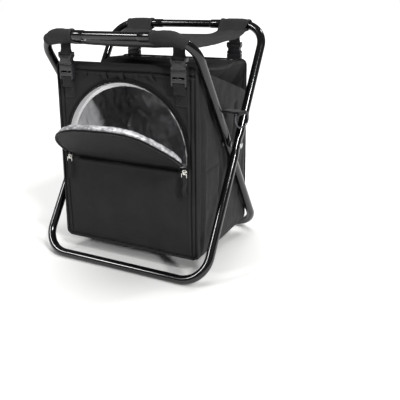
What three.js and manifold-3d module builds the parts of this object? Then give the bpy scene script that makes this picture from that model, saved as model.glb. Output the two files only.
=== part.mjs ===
// Folding cooler stool, standing open with its door down.
// Millimetres, +Z up. Someone facing the door looks along +Y and has +X on the right.
// The origin is on the floor, below the line through the two pivot rivets.
import * as THREE from "three";
import { mergeVertices } from "three/addons/utils/BufferGeometryUtils.js";
import Module from "manifold-3d";

const wasm = await Module();
wasm.setup();

// Frame: two bent tube loops that cross at the rivets
const BAR_HEIGHT = 400;
const BAR_SPREAD = 268;
const FOOT_SPREAD = 278;
const BAG_LEG_GAP = 10.2;
const LOOP_OFFSET = 17;
const TUBE_DIAMETER = 15;
const TUBE_WALL = 1;
const BEND_RADIUS = 45;
const GRIP_FROM_LEG = 92.5;
const GRIP_INSERT = 20;
const SOCKET_LENGTH = 24;
const SOCKET_WALL = 0.6;
const SWAGE_TAPER = 6;
const PIVOT_FLAT = 13;
const PIVOT_WIDENED = 16.4;
const PIVOT_FLAT_HALF = 9;
const PIVOT_FLAT_TAPER = 12;
const RIVET_RADIUS = 2.8;
const RIVET_HEAD_RADIUS = 5.5;
const RIVET_DOME = 2.4;
const RIVET_FLANGE = 1.5;
const SPACER_RADIUS = 7;
const CLEARANCE = 0.3;
const OVERRUN = 2;

// Seat sling
const SLEEVE_FROM_LEG = 11.5;
const SLEEVE_LENGTH = 59;
const SLEEVE_BORE_RADIUS = 9.2;
const CLOTH = 1.8;
const SLING_CENTRE_SAG = 25;
const SLING_SIDE_SAG = 20.5;
const SLING_LEAVES_DEG = 35;
const SLING_FLATNESS = 4;
const CUTOUT_DEPTH = 33;
const CUTOUT_CORNER = 16;

// Bag
const PANEL_FRONT = 104;
const PANEL_REAR = 108;
const PANEL_HALF_WIDTH = 131.8;
const BAG_BOTTOM = 30;
const BAG_BELOW_BAR = 49;
const REAR_TOP_DROP = 14;
const SHELL = 1.2;
const FOAM = 4;
const LINER = 0.8;
const PANEL_CORNER = 8;
const PIPING_RADIUS = 1.4;

// Door and its zip
const ARCH_BELOW_TOP = 29;
const HINGE_BELOW_CENTRE = 17;
const DOOR_OPEN_DEG = 55;
const MOUTH_MARGIN = 14.8;
const DOOR_GAP = 1.4;
const PLUG_INSET = 2.5;
const DOOR_PLUG_RISE = 4;
const DOOR_FOAM = 8;
const DOOR_CORNER = 20;
const HINGE_GAP = 1;
const BINDING_RADIUS = 0.7;
const TAPE_WIDTH = 4.6;
const TAPE_THICKNESS = 1.3;
const BAG_TAPE_END_DEG = 13;
const DOOR_TAPE_START_DEG = 0;
const SLIDER_DEG = 11.2;
const SLIDER_WIDTH = 8.8;
const SLIDER_LENGTH = 9;
const SLIDER_THICKNESS = 3.2;
const BRIDGE_WIDTH = 3.2;
const BRIDGE_DEPTH = 3.4;
const BRIDGE_LENGTH = 6;
const PULL_WIRE_RADIUS = 0.7;
const PULL_LOOP_WIDTH = 10.4;
const PULL_LOOP_HEIGHT = 8;
const PULL_TAB_WIDTH = 7;
const PULL_TAB_LENGTH = 34;
const PULL_TAB_LAYER = 0.9;

// Hangers: a strap, a side-release buckle and a sewn webbing at each corner
const HANGER_FROM_SIDE = 23.8;
const BUCKLE_STANDOFF = 6;
const BUCKLE_BELOW_TOP = 2;
const BUCKLE_HALF_WIDTH = 13.8;
const BUCKLE_WAIST = 10.8;
const SOCKET_HEIGHT = 20;
const SOCKET_THICKNESS = 9.4;
const PRONG_CAVITY = 5.2;
const CAVITY_DEPTH = 12.5;
const PRONG_BASE_HEIGHT = 27;
const PRONG_BASE_THICKNESS = 8.4;
const BUCKLE_BAR_HEIGHT = 3;
const BUCKLE_BAR_THICKNESS = 3.4;
const STRAP_WIDTH = 20;
const STRAP_THICKNESS = 1.4;
const SLOT_SIDE_CLEARANCE = 0.6;
const WEBBING_DROP = 60;
const STRAP_TOP_GAP = 0.9;

// Side rings
const RING_EYE = 25;
const RING_WEBBING = 20;
const RING_WIRE_RADIUS = 1.75;
const RING_DROP = 24;
const RING_CORNER = 4;
const RING_LEG_GAP = 42.5;
const RING_OUTSIDE = 1;
const RING_TURN_DEG = 65;
const RING_TAB_ROOT_Y = -2;
const RING_TAB_RISE = 7.5;

// Counts of facets
const TUBE_SIDES = 12;
const BEND_STEPS = 7;
const WIRE_SIDES = 8;
const ARCH_STEPS = 40;
const LATHE_SIDES = 24;

// Sizes that follow from the ones above
const GUSSET_INSIDE = PANEL_HALF_WIDTH + CLEARANCE;
const GUSSET_OUTSIDE = GUSSET_INSIDE + SHELL;
const INNER_HALF_WIDTH = GUSSET_OUTSIDE + BAG_LEG_GAP;
const OUTER_HALF_WIDTH = INNER_HALF_WIDTH + LOOP_OFFSET;
const GRIP_HALF_LENGTH = INNER_HALF_WIDTH - GRIP_FROM_LEG;
const SLEEVE_END = INNER_HALF_WIDTH - SLEEVE_FROM_LEG;
const SLEEVE_START = SLEEVE_END - SLEEVE_LENGTH;
const HANGER_OFFSET = PANEL_HALF_WIDTH - HANGER_FROM_SIDE;
const MOUTH_RADIUS = PANEL_HALF_WIDTH - MOUTH_MARGIN;
const DOOR_RADIUS = MOUTH_RADIUS - DOOR_GAP;
const DOOR_PLUG_RADIUS = DOOR_RADIUS - PLUG_INSET;
const TUBE_RADIUS = TUBE_DIAMETER / 2;
const SOCKET_BORE_RADIUS = TUBE_RADIUS + CLEARANCE;
const SOCKET_RADIUS = SOCKET_BORE_RADIUS + SOCKET_WALL;
const FOOT_HEIGHT = TUBE_RADIUS;
const LEG_RUN = (BAR_SPREAD + FOOT_SPREAD) / 2;
const LEG_RISE = BAR_HEIGHT - FOOT_HEIGHT;
const LEG_LENGTH = Math.hypot(LEG_RUN, LEG_RISE);
const LEG_LEAN = Math.atan2(LEG_RUN, LEG_RISE);
const UPPER_SHARE = BAR_SPREAD / (BAR_SPREAD + FOOT_SPREAD);
const LEG_ABOVE_PIVOT = LEG_LENGTH * UPPER_SHARE;
const LEG_BELOW_PIVOT = LEG_LENGTH - LEG_ABOVE_PIVOT;
const PIVOT_HEIGHT = BAR_HEIGHT - LEG_RISE * UPPER_SHARE;
const SLING_CENTRE_HEIGHT = BAR_HEIGHT - SLING_CENTRE_SAG;
const SLING_SIDE_HEIGHT = BAR_HEIGHT - SLING_SIDE_SAG;
const BAG_FRONT_TOP = BAR_HEIGHT - BAG_BELOW_BAR;
const BAG_REAR_TOP = BAG_FRONT_TOP - REAR_TOP_DROP;
const BUCKLE_MOUTH_HEIGHT = BAG_FRONT_TOP - BUCKLE_BELOW_TOP;
const DOOR_CENTRE_HEIGHT = BAG_FRONT_TOP - ARCH_BELOW_TOP - MOUTH_RADIUS;
const DOOR_HINGE_HEIGHT = DOOR_CENTRE_HEIGHT - HINGE_BELOW_CENTRE;
const RING_BAR_HEIGHT = PIVOT_HEIGHT + RING_LEG_GAP / Math.tan(LEG_LEAN);
const RING_TAB_ROOT_HEIGHT = RING_BAR_HEIGHT + RING_TAB_RISE;
const RIVET_HOLE_RADIUS = RIVET_RADIUS + CLEARANCE;
const FRONT_INSIDE = -PANEL_FRONT + SHELL;
const REAR_INSIDE = PANEL_REAR - SHELL;
const SHELL_BOTTOM = BAG_BOTTOM + SHELL + CLEARANCE;
const SEAM_INSET = SHELL / 2 + PIPING_RADIUS + CLEARANCE;
const SEAM_FRONT = -PANEL_FRONT + SEAM_INSET;
const SEAM_REAR = PANEL_REAR - SEAM_INSET;
const TOP_SLOPE = (BAG_REAR_TOP - BAG_FRONT_TOP) / (PANEL_FRONT + PANEL_REAR);
const DOOR_HINGE_Y = -PANEL_FRONT + SHELL / 2;
const TAPE_FACE = -PANEL_FRONT - CLEARANCE;
const TAPE_MEETING_RADIUS = MOUTH_RADIUS - TAPE_THICKNESS / 2;
const BUCKLE_FRONT_Y = -PANEL_FRONT - BUCKLE_STANDOFF;
const BUCKLE_REAR_Y = PANEL_REAR + BUCKLE_STANDOFF;

const rad = THREE.MathUtils.degToRad;

// Materials
const paint = (color, roughness, metalness) => new THREE.MeshStandardMaterial({ color, roughness, metalness });
const blackTube = () => paint(0x141416, 0.22, 0.6);
const bareSteel = () => paint(0xc9cacc, 0.3, 1);
const fabric = () => paint(0x2f3033, 0.9, 0);
const webbing = () => paint(0x222326, 0.85, 0);
const plastic = () => paint(0x3a3b3e, 0.45, 0);
const foam = () => paint(0xe6e4dc, 0.95, 0);
const silverFilm = () => paint(0xb4b6b9, 0.35, 0.5);
const zipTape = () => paint(0x1b1c1e, 0.8, 0);

const stool = new THREE.Group();

function add(parent, name, geometry, material) {
  const mesh = new THREE.Mesh(geometry, material);
  mesh.name = name;
  parent.add(mesh);
  return mesh;
}

// Solids for joining and cutting
function solidOf(geometry) {
  const bare = geometry.clone();
  bare.deleteAttribute("normal");
  bare.deleteAttribute("uv");
  const merged = mergeVertices(bare, CLEARANCE / 1000);
  return new wasm.Manifold(new wasm.Mesh({
    numProp: 3,
    vertProperties: new Float32Array(merged.attributes.position.array),
    triVerts: new Uint32Array(merged.index.array),
  }));
}

function geometryOf(solid) {
  const mesh = solid.getMesh();
  const geometry = new THREE.BufferGeometry();
  geometry.setAttribute("position", new THREE.BufferAttribute(new Float32Array(mesh.vertProperties), 3));
  geometry.setIndex(new THREE.BufferAttribute(new Uint32Array(mesh.triVerts), 1));
  return geometry;
}

function cut(geometry, ...tools) {
  return geometryOf(tools.reduce((solid, tool) => solid.subtract(solidOf(tool)), solidOf(geometry)));
}

function join(geometry, ...others) {
  return geometryOf(others.reduce((solid, other) => solid.add(solidOf(other)), solidOf(geometry)));
}

// The same geometry on the other side of the plane x = 0
function mirrored(geometry) {
  const copy = geometry.index ? geometry.clone() : mergeVertices(geometry);
  copy.deleteAttribute("normal");
  copy.scale(-1, 1, 1);
  const index = Array.from(copy.index.array);
  for (let i = 0; i < index.length; i += 3) {
    [index[i + 1], index[i + 2]] = [index[i + 2], index[i + 1]];
  }
  copy.setIndex(index);
  return copy;
}

function box(x0, x1, y0, y1, z0, z1) {
  const geometry = new THREE.BoxGeometry(x1 - x0, y1 - y0, z1 - z0);
  return geometry.translate((x0 + x1) / 2, (y0 + y1) / 2, (z0 + z1) / 2);
}

// A flat plate: the shape is drawn in x and z, and its front face lies at y = front
function plateAcross(shape, front, thickness) {
  const geometry = new THREE.ExtrudeGeometry(shape, { depth: thickness, bevelEnabled: false });
  return geometry.rotateX(Math.PI / 2).translate(0, front + thickness, 0);
}

// A plate or strip whose shape is drawn in y and z, centred on x = middle
function plateAlong(shape, middle, width) {
  const geometry = new THREE.ExtrudeGeometry(shape, { depth: width, bevelEnabled: false });
  const turn = new THREE.Matrix4().makeBasis(
    new THREE.Vector3(0, 1, 0), new THREE.Vector3(0, 0, 1), new THREE.Vector3(1, 0, 0));
  return geometry.applyMatrix4(turn).translate(middle - width / 2, 0, 0);
}

function outline(points) {
  return new THREE.Shape(points.map(([a, b]) => new THREE.Vector2(a, b)));
}

function cylinderAlongX(radius, x0, x1, y, z, sides = LATHE_SIDES) {
  const geometry = new THREE.CylinderGeometry(radius, radius, x1 - x0, sides);
  return geometry.rotateZ(Math.PI / 2).translate((x0 + x1) / 2, y, z);
}

// A skin over rings of points that closes on itself
function ringSkin(rings) {
  const count = rings[0].length;
  const geometry = new THREE.BufferGeometry();
  const positions = rings.flatMap((ring) => ring.flatMap((p) => [p.x, p.y, p.z]));
  const index = [];
  rings.forEach((ring, i) => {
    const here = i * count;
    const next = ((i + 1) % rings.length) * count;
    ring.forEach((p, j) => {
      const k = (j + 1) % count;
      index.push(here + j, here + k, next + k, here + j, next + k, next + j);
    });
  });
  geometry.setAttribute("position", new THREE.Float32BufferAttribute(positions, 3));
  geometry.setIndex(index);
  return facingOut(geometry);
}

function facingOut(geometry) {
  const p = geometry.attributes.position;
  const index = Array.from(geometry.index.array);
  const corner = (i) => new THREE.Vector3().fromBufferAttribute(p, index[i]);
  let volume = 0;
  for (let i = 0; i < index.length; i += 3) {
    volume += corner(i).dot(corner(i + 1).cross(corner(i + 2)));
  }
  if (volume < 0) {
    for (let i = 0; i < index.length; i += 3) {
      [index[i + 1], index[i + 2]] = [index[i + 2], index[i + 1]];
    }
    geometry.setIndex(index);
  }
  return geometry;
}

// A wire or cord round a closed flat path
function wireLoop(points, normal, radius, sides = WIRE_SIDES) {
  const rings = points.map((point, i) => {
    const ahead = points[(i + 1) % points.length];
    const behind = points[(i + points.length - 1) % points.length];
    const side = ahead.clone().sub(behind).normalize().cross(normal);
    return Array.from({ length: sides }, (_, j) => {
      const angle = (2 * Math.PI * j) / sides;
      return point.clone()
        .addScaledVector(normal, radius * Math.cos(angle))
        .addScaledVector(side, radius * Math.sin(angle));
    });
  });
  return ringSkin(rings);
}

function arc(centreA, centreB, radius, fromDeg, toDeg, steps) {
  return Array.from({ length: steps + 1 }, (_, i) => {
    const angle = rad(fromDeg + ((toDeg - fromDeg) * i) / steps);
    return [centreA + radius * Math.cos(angle), centreB + radius * Math.sin(angle)];
  });
}

// Frame loops, each drawn in its own plane with the pivot line at the origin
const tubeSection = { out: [TUBE_RADIUS, TUBE_RADIUS], bore: [TUBE_RADIUS - TUBE_WALL, TUBE_RADIUS - TUBE_WALL] };
const socketSection = { out: [SOCKET_RADIUS, SOCKET_RADIUS], bore: [SOCKET_BORE_RADIUS, SOCKET_BORE_RADIUS] };
const pivotSection = {
  out: [PIVOT_FLAT / 2, PIVOT_WIDENED / 2],
  bore: [PIVOT_FLAT / 2 - TUBE_WALL, PIVOT_WIDENED / 2 - TUBE_WALL],
};

function bendStations(x, z, quadrantDeg) {
  return Array.from({ length: BEND_STEPS + 1 }, (_, i) => {
    const angle = rad(quadrantDeg - (90 * i) / BEND_STEPS);
    return {
      x: x + BEND_RADIUS * Math.cos(angle),
      z: z + BEND_RADIUS * Math.sin(angle),
      nx: Math.cos(angle),
      nz: Math.sin(angle),
      section: tubeSection,
    };
  });
}

function rightStations(halfWidth) {
  const top = LEG_ABOVE_PIVOT;
  const bottom = -LEG_BELOW_PIVOT;
  const onBar = (x, section) => ({ x, z: top, nx: 0, nz: 1, section });
  const onLeg = (z, section) => ({ x: halfWidth, z, nx: 1, nz: 0, section });
  return [
    onBar(GRIP_HALF_LENGTH, socketSection),
    onBar(GRIP_HALF_LENGTH + SOCKET_LENGTH, socketSection),
    onBar(GRIP_HALF_LENGTH + SOCKET_LENGTH + SWAGE_TAPER, tubeSection),
    ...bendStations(halfWidth - BEND_RADIUS, top - BEND_RADIUS, 90),
    onLeg(PIVOT_FLAT_HALF + PIVOT_FLAT_TAPER, tubeSection),
    onLeg(PIVOT_FLAT_HALF, pivotSection),
    onLeg(-PIVOT_FLAT_HALF, pivotSection),
    onLeg(-PIVOT_FLAT_HALF - PIVOT_FLAT_TAPER, tubeSection),
    ...bendStations(halfWidth - BEND_RADIUS, bottom + BEND_RADIUS, 0),
  ];
}

function stationRing(station, [across, along]) {
  return Array.from({ length: TUBE_SIDES }, (_, j) => {
    const angle = (2 * Math.PI * j) / TUBE_SIDES;
    const reach = across * Math.cos(angle);
    return new THREE.Vector3(
      station.x + station.nx * reach, along * Math.sin(angle), station.z + station.nz * reach);
  });
}

function loopTube(halfWidth) {
  const right = rightStations(halfWidth);
  const left = right.map((s) => ({ ...s, x: -s.x, nx: -s.nx })).reverse();
  const path = [...right, ...left];
  const outside = path.map((s) => stationRing(s, s.section.out));
  const bore = path.map((s) => stationRing(s, s.section.bore)).reverse();
  const reach = halfWidth + TUBE_DIAMETER;
  const hole = cylinderAlongX(RIVET_HOLE_RADIUS, -reach, reach, 0, 0);
  return cut(ringSkin([...outside, ...bore]), hole);
}

// The grip is a straight tube whose facets line up with its sockets
function gripTube() {
  const half = GRIP_HALF_LENGTH + GRIP_INSERT;
  const ends = [-half, half].map((x) => ({ x, z: LEG_ABOVE_PIVOT, nx: 0, nz: 1 }));
  const outside = ends.map((s) => stationRing(s, tubeSection.out));
  const bore = ends.map((s) => stationRing(s, tubeSection.bore)).reverse();
  return ringSkin([...outside, ...bore]);
}

function loopGroup(lean) {
  const group = new THREE.Group();
  group.position.z = PIVOT_HEIGHT;
  group.rotation.x = lean;
  stool.add(group);
  return group;
}

const innerLoop = loopGroup(LEG_LEAN);
const outerLoop = loopGroup(-LEG_LEAN);
add(innerLoop, "inner_loop_tube", loopTube(INNER_HALF_WIDTH), blackTube());
add(innerLoop, "inner_grip_tube", gripTube(), blackTube());
add(outerLoop, "outer_loop_tube", loopTube(OUTER_HALF_WIDTH), blackTube());
add(outerLoop, "outer_grip_tube", gripTube(), blackTube());

// Pivot: a rivet through both tubes and a spacer washer between them
function lathedAlongX(profile) {
  const points = profile.map(([radius, x]) => new THREE.Vector2(radius, x));
  return new THREE.LatheGeometry(points, LATHE_SIDES).rotateZ(-Math.PI / 2).translate(0, 0, PIVOT_HEIGHT);
}

function rivet() {
  const inside = INNER_HALF_WIDTH - PIVOT_FLAT / 2 - CLEARANCE;
  const outside = OUTER_HALF_WIDTH + PIVOT_FLAT / 2 + CLEARANCE;
  const domeShares = [[1, 0], [0.93, 0.45], [0.72, 0.78], [0.4, 0.95], [0, 1]];
  return lathedAlongX([
    [0, inside - RIVET_FLANGE],
    [RIVET_HEAD_RADIUS, inside - RIVET_FLANGE],
    [RIVET_HEAD_RADIUS, inside],
    [RIVET_RADIUS, inside],
    [RIVET_RADIUS, outside],
    ...domeShares.map(([r, h]) => [RIVET_HEAD_RADIUS * r, outside + RIVET_DOME * h]),
  ]);
}

function spacer() {
  const inside = INNER_HALF_WIDTH + PIVOT_FLAT / 2 + CLEARANCE;
  const outside = OUTER_HALF_WIDTH - PIVOT_FLAT / 2 - CLEARANCE;
  const corners = [[RIVET_HOLE_RADIUS, inside], [SPACER_RADIUS, inside],
    [SPACER_RADIUS, outside], [RIVET_HOLE_RADIUS, outside], [RIVET_HOLE_RADIUS, inside]];
  return lathedAlongX(corners);
}

add(stool, "pivot_rivet_right", rivet(), bareSteel());
add(stool, "pivot_rivet_left", mirrored(rivet()), bareSteel());
add(stool, "pivot_spacer_right", spacer(), bareSteel());
add(stool, "pivot_spacer_left", mirrored(spacer()), bareSteel());

// Seat sling: a sagging sheet with a sleeve round the bar at each corner
const FRONT_SIDE = -1;
const REAR_SIDE = 1;
const loopHalfWidth = (side) => (side === FRONT_SIDE ? INNER_HALF_WIDTH : OUTER_HALF_WIDTH);

// Centre of the bar, its direction and the bend angle at a distance x from the middle
function barAt(side, x) {
  const bendStart = loopHalfWidth(side) - BEND_RADIUS;
  const bend = Math.asin(Math.max(0, x - bendStart) / BEND_RADIUS);
  const drop = BEND_RADIUS * (1 - Math.cos(bend));
  const downLeg = new THREE.Vector3(0, -side * Math.sin(LEG_LEAN), -Math.cos(LEG_LEAN));
  const centre = new THREE.Vector3(x, (side * BAR_SPREAD) / 2, BAR_HEIGHT).addScaledVector(downLeg, drop);
  const along = new THREE.Vector3(Math.cos(bend), 0, 0).addScaledVector(downLeg, Math.sin(bend));
  return { centre, along, bend };
}

// Where the sheet leaves the sleeve, in the middle of the sleeve's wall
function sheetEdge(side, x) {
  const { centre, along } = barAt(side, Math.abs(x));
  const leave = rad(SLING_LEAVES_DEG);
  const inward = new THREE.Vector3(0, -side * Math.cos(leave), -Math.sin(leave));
  inward.addScaledVector(along, -inward.dot(along)).normalize();
  const edge = centre.addScaledVector(inward, SLEEVE_BORE_RADIUS + CLOTH / 2);
  edge.x *= Math.sign(x);
  return edge;
}

// A point of the sheet: x names the column, and along runs from -1 at the front to 1 at the rear
function sheetPoint(x, along) {
  const front = sheetEdge(FRONT_SIDE, x);
  const rear = sheetEdge(REAR_SIDE, x);
  const edge = along < 0 ? front : rear;
  const point = front.clone().lerp(rear, (along + 1) / 2);
  const middle = THREE.MathUtils.lerp(SLING_CENTRE_HEIGHT, SLING_SIDE_HEIGHT, (x / SLEEVE_END) ** 2);
  point.z = middle + (edge.z - middle) * Math.abs(along) ** SLING_FLATNESS;
  return point;
}

const columnShares = [-1, -0.88, -0.72, -0.5, -0.25, 0, 0.25, 0.5, 0.72, 0.88, 1];
const rowShares = [-1, -0.93, -0.84, -0.72, -0.55, -0.3, 0, 0.3, 0.55, 0.72, 0.84, 0.93, 1];

function slingSheet() {
  const columns = columnShares.map((share) => {
    const points = rowShares.map((row) => sheetPoint(share * SLEEVE_END, row));
    const lift = (amount) => points.map((p) => p.clone().setZ(p.z + amount));
    return [...lift(CLOTH / 2), ...lift(-CLOTH / 2).reverse()];
  });
  const count = columns[0].length;
  const index = [];
  columns.slice(1).forEach((column, i) => {
    column.forEach((p, j) => {
      const k = (j + 1) % count;
      const [a, b, c, d] = [i * count + j, i * count + k, (i + 1) * count + k, (i + 1) * count + j];
      index.push(a, b, c, a, c, d);
    });
  });
  const last = (columns.length - 1) * count;
  for (let j = 0; j < rowShares.length - 1; j += 1) {
    const [a, b, c, d] = [j, j + 1, count - 2 - j, count - 1 - j];
    index.push(a, c, b, a, d, c, last + a, last + b, last + c, last + a, last + c, last + d);
  }
  const geometry = new THREE.BufferGeometry();
  const positions = columns.flatMap((column) => column.flatMap((p) => [p.x, p.y, p.z]));
  geometry.setAttribute("position", new THREE.Float32BufferAttribute(positions, 3));
  geometry.setIndex(index);
  return facingOut(geometry);
}

function sleeve(side) {
  const bendStart = loopHalfWidth(side) - BEND_RADIUS;
  const places = [SLEEVE_START, bendStart];
  const bendSteps = 3;
  for (let i = 1; i <= bendSteps; i += 1) {
    places.push(bendStart + ((SLEEVE_END - bendStart) * i) / bendSteps);
  }
  const normal = new THREE.Vector3(0, -side * Math.cos(LEG_LEAN), Math.sin(LEG_LEAN));
  const ringAt = (x, radius) => {
    const { centre, along } = barAt(side, x);
    const across = along.clone().cross(normal);
    return Array.from({ length: TUBE_SIDES }, (_, j) => {
      const angle = (2 * Math.PI * j) / TUBE_SIDES;
      return centre.clone()
        .addScaledVector(normal, radius * Math.cos(angle))
        .addScaledVector(across, radius * Math.sin(angle));
    });
  };
  const outside = places.map((x) => ringAt(x, SLEEVE_BORE_RADIUS + CLOTH));
  const bore = places.map((x) => ringAt(x, SLEEVE_BORE_RADIUS)).reverse();
  return ringSkin([...outside, ...bore]);
}

function gripCutout(side) {
  const inner = BAR_SPREAD / 2 - CUTOUT_DEPTH;
  const outer = BAR_SPREAD / 2 + SLEEVE_BORE_RADIUS;
  const shape = outline([
    [SLEEVE_START, outer],
    ...arc(SLEEVE_START - CUTOUT_CORNER, inner + CUTOUT_CORNER, CUTOUT_CORNER, 0, -90, 4),
    ...arc(-SLEEVE_START + CUTOUT_CORNER, inner + CUTOUT_CORNER, CUTOUT_CORNER, -90, -180, 4),
    [-SLEEVE_START, outer],
  ]);
  const height = BAR_HEIGHT - SLING_CENTRE_HEIGHT + 2 * CUTOUT_CORNER;
  const geometry = new THREE.ExtrudeGeometry(shape, { depth: height, bevelEnabled: false });
  geometry.translate(0, 0, SLING_CENTRE_HEIGHT - CUTOUT_CORNER);
  return side === REAR_SIDE ? geometry : geometry.rotateZ(Math.PI);
}

function seatSling() {
  const sheet = cut(slingSheet(), gripCutout(FRONT_SIDE), gripCutout(REAR_SIDE));
  const sleeves = [FRONT_SIDE, REAR_SIDE].flatMap((side) => [sleeve(side), mirrored(sleeve(side))]);
  return join(sheet, ...sleeves);
}

add(stool, "seat_sling", seatSling(), fabric());

// Bag panels, from the outside in: shell, foam, liner
const topAt = (y) => BAG_FRONT_TOP + TOP_SLOPE * (y + PANEL_FRONT);

function roundedPanel(halfWidth, bottom, top, corner) {
  return outline([
    ...arc(halfWidth - corner, top - corner, corner, 0, 90, 3),
    ...arc(-halfWidth + corner, top - corner, corner, 90, 180, 3),
    ...arc(-halfWidth + corner, bottom + corner, corner, 180, 270, 3),
    ...arc(halfWidth - corner, bottom + corner, corner, 270, 360, 3),
  ]);
}

// The door's outline: a circle about the arch's centre, cut off above the hinge line
function archPoints(radius, chordHeight, steps = ARCH_STEPS) {
  const dip = THREE.MathUtils.radToDeg(Math.asin((DOOR_CENTRE_HEIGHT - chordHeight) / radius));
  return arc(0, DOOR_CENTRE_HEIGHT, radius, -dip, 180 + dip, steps);
}

function withMouth(shape, radius, chordHeight) {
  shape.holes.push(new THREE.Path(archPoints(radius, chordHeight).map(([x, z]) => new THREE.Vector2(x, z))));
  return shape;
}

const mouthSill = DOOR_HINGE_HEIGHT - HINGE_GAP;
const foamMouthRadius = MOUTH_RADIUS + CLEARANCE + LINER + CLEARANCE;
const foamSill = mouthSill - CLEARANCE - LINER - CLEARANCE;
const foamEdge = GUSSET_INSIDE - CLEARANCE - FOAM - CLEARANCE;
const foamFront = FRONT_INSIDE + CLEARANCE;
const foamRear = REAR_INSIDE - CLEARANCE;
const linerFront = foamFront + FOAM + CLEARANCE;
const linerRear = foamRear - FOAM - CLEARANCE;
const foamBottom = SHELL_BOTTOM + FOAM + CLEARANCE;
const foamTopDrop = SHELL + CLEARANCE + FOAM + CLEARANCE;

function slabAlong(y0, y1, bottom, topDrop, x0, x1) {
  const shape = outline([[y0, bottom], [y1, bottom], [y1, topAt(y1) - topDrop], [y0, topAt(y0) - topDrop]]);
  return plateAlong(shape, (x0 + x1) / 2, x1 - x0);
}

function lidAlong(y0, y1, topDrop, thickness, halfWidth) {
  const shape = outline([
    [y0, topAt(y0) - topDrop - thickness], [y1, topAt(y1) - topDrop - thickness],
    [y1, topAt(y1) - topDrop], [y0, topAt(y0) - topDrop],
  ]);
  return plateAlong(shape, 0, 2 * halfWidth);
}

const frontShape = roundedPanel(PANEL_HALF_WIDTH, SHELL_BOTTOM, BAG_FRONT_TOP, PANEL_CORNER);
const frontPanel = plateAcross(withMouth(frontShape, MOUTH_RADIUS, mouthSill), -PANEL_FRONT, SHELL);
add(stool, "front_panel", frontPanel, fabric());
const rearShape = roundedPanel(PANEL_HALF_WIDTH, SHELL_BOTTOM, BAG_REAR_TOP, PANEL_CORNER);
add(stool, "rear_panel", plateAcross(rearShape, REAR_INSIDE, SHELL), fabric());

const gusset = slabAlong(SEAM_FRONT, SEAM_REAR, SHELL_BOTTOM, 0, GUSSET_INSIDE, GUSSET_OUTSIDE);
add(stool, "right_gusset", gusset, fabric());
add(stool, "left_gusset", mirrored(gusset), fabric());
const lid = lidAlong(SEAM_FRONT, SEAM_REAR, 0, SHELL, PANEL_HALF_WIDTH);
add(stool, "top_panel", lid, fabric());
const base = box(-GUSSET_OUTSIDE, GUSSET_OUTSIDE, SEAM_FRONT, SEAM_REAR, BAG_BOTTOM, BAG_BOTTOM + SHELL);
add(stool, "bottom_panel", base, fabric());

const foamFrontTop = topAt(foamFront + FOAM) - foamTopDrop;
const frontFoamShape = roundedPanel(foamEdge, foamBottom, foamFrontTop, FOAM);
const frontFoam = plateAcross(withMouth(frontFoamShape, foamMouthRadius, foamSill), foamFront, FOAM);
add(stool, "front_foam", frontFoam, foam());
const foamRearTop = topAt(foamRear) - foamTopDrop;
const rearFoamShape = roundedPanel(foamEdge, foamBottom, foamRearTop, FOAM);
add(stool, "rear_foam", plateAcross(rearFoamShape, foamRear - FOAM, FOAM), foam());
const sideFoam = slabAlong(
  SEAM_FRONT, SEAM_REAR, foamBottom, foamTopDrop, foamEdge + CLEARANCE, foamEdge + CLEARANCE + FOAM);
add(stool, "right_foam", sideFoam, foam());
add(stool, "left_foam", mirrored(sideFoam), foam());
const topFoam = lidAlong(SEAM_FRONT, SEAM_REAR, SHELL + CLEARANCE, FOAM, PANEL_HALF_WIDTH);
add(stool, "top_foam", topFoam, foam());
const baseFoam = box(
  -PANEL_HALF_WIDTH, PANEL_HALF_WIDTH, SEAM_FRONT, SEAM_REAR, SHELL_BOTTOM, SHELL_BOTTOM + FOAM);
add(stool, "bottom_foam", baseFoam, foam());

// The liner is one sewn film: a box with a lip that lines the mouth
function liner() {
  const bottom = foamBottom + CLEARANCE;
  const drop = foamTopDrop + CLEARANCE;
  const outside = slabAlong(linerFront, linerRear, bottom, drop, -foamEdge, foamEdge);
  const inside = slabAlong(
    linerFront + LINER, linerRear - LINER, bottom + LINER, drop + LINER, -foamEdge + LINER, foamEdge - LINER);
  const lipDepth = linerFront + LINER - foamFront;
  const archShape = (radius, sill) => outline(archPoints(radius, sill));
  const lipOut = plateAcross(archShape(foamMouthRadius - CLEARANCE, foamSill + CLEARANCE), foamFront, lipDepth);
  const bore = plateAcross(
    archShape(foamMouthRadius - CLEARANCE - LINER, foamSill + CLEARANCE + LINER),
    foamFront - OVERRUN, lipDepth + 2 * OVERRUN);
  return cut(join(cut(outside, inside), lipOut), bore);
}

add(stool, "liner", liner(), silverFilm());

// Piping cord round the front and rear seams
function piping(top, y) {
  const out = PIPING_RADIUS + CLEARANCE;
  const shape = roundedPanel(PANEL_HALF_WIDTH + out, SHELL_BOTTOM - out, top + out, PANEL_CORNER + out);
  const points = shape.getPoints().map((p) => new THREE.Vector3(p.x, y, p.y));
  return wireLoop(points, new THREE.Vector3(0, 1, 0), PIPING_RADIUS);
}

add(stool, "front_piping", piping(BAG_FRONT_TOP, -PANEL_FRONT + SHELL / 2), fabric());
add(stool, "rear_piping", piping(BAG_REAR_TOP, PANEL_REAR - SHELL / 2), fabric());

// Door, drawn shut about its hinge line and then opened
const door = new THREE.Group();
door.position.set(0, DOOR_HINGE_Y, DOOR_HINGE_HEIGHT);
door.rotation.x = rad(DOOR_OPEN_DEG);
stool.add(door);

const onDoor = (geometry) => geometry.translate(0, -DOOR_HINGE_Y, -DOOR_HINGE_HEIGHT);

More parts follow.
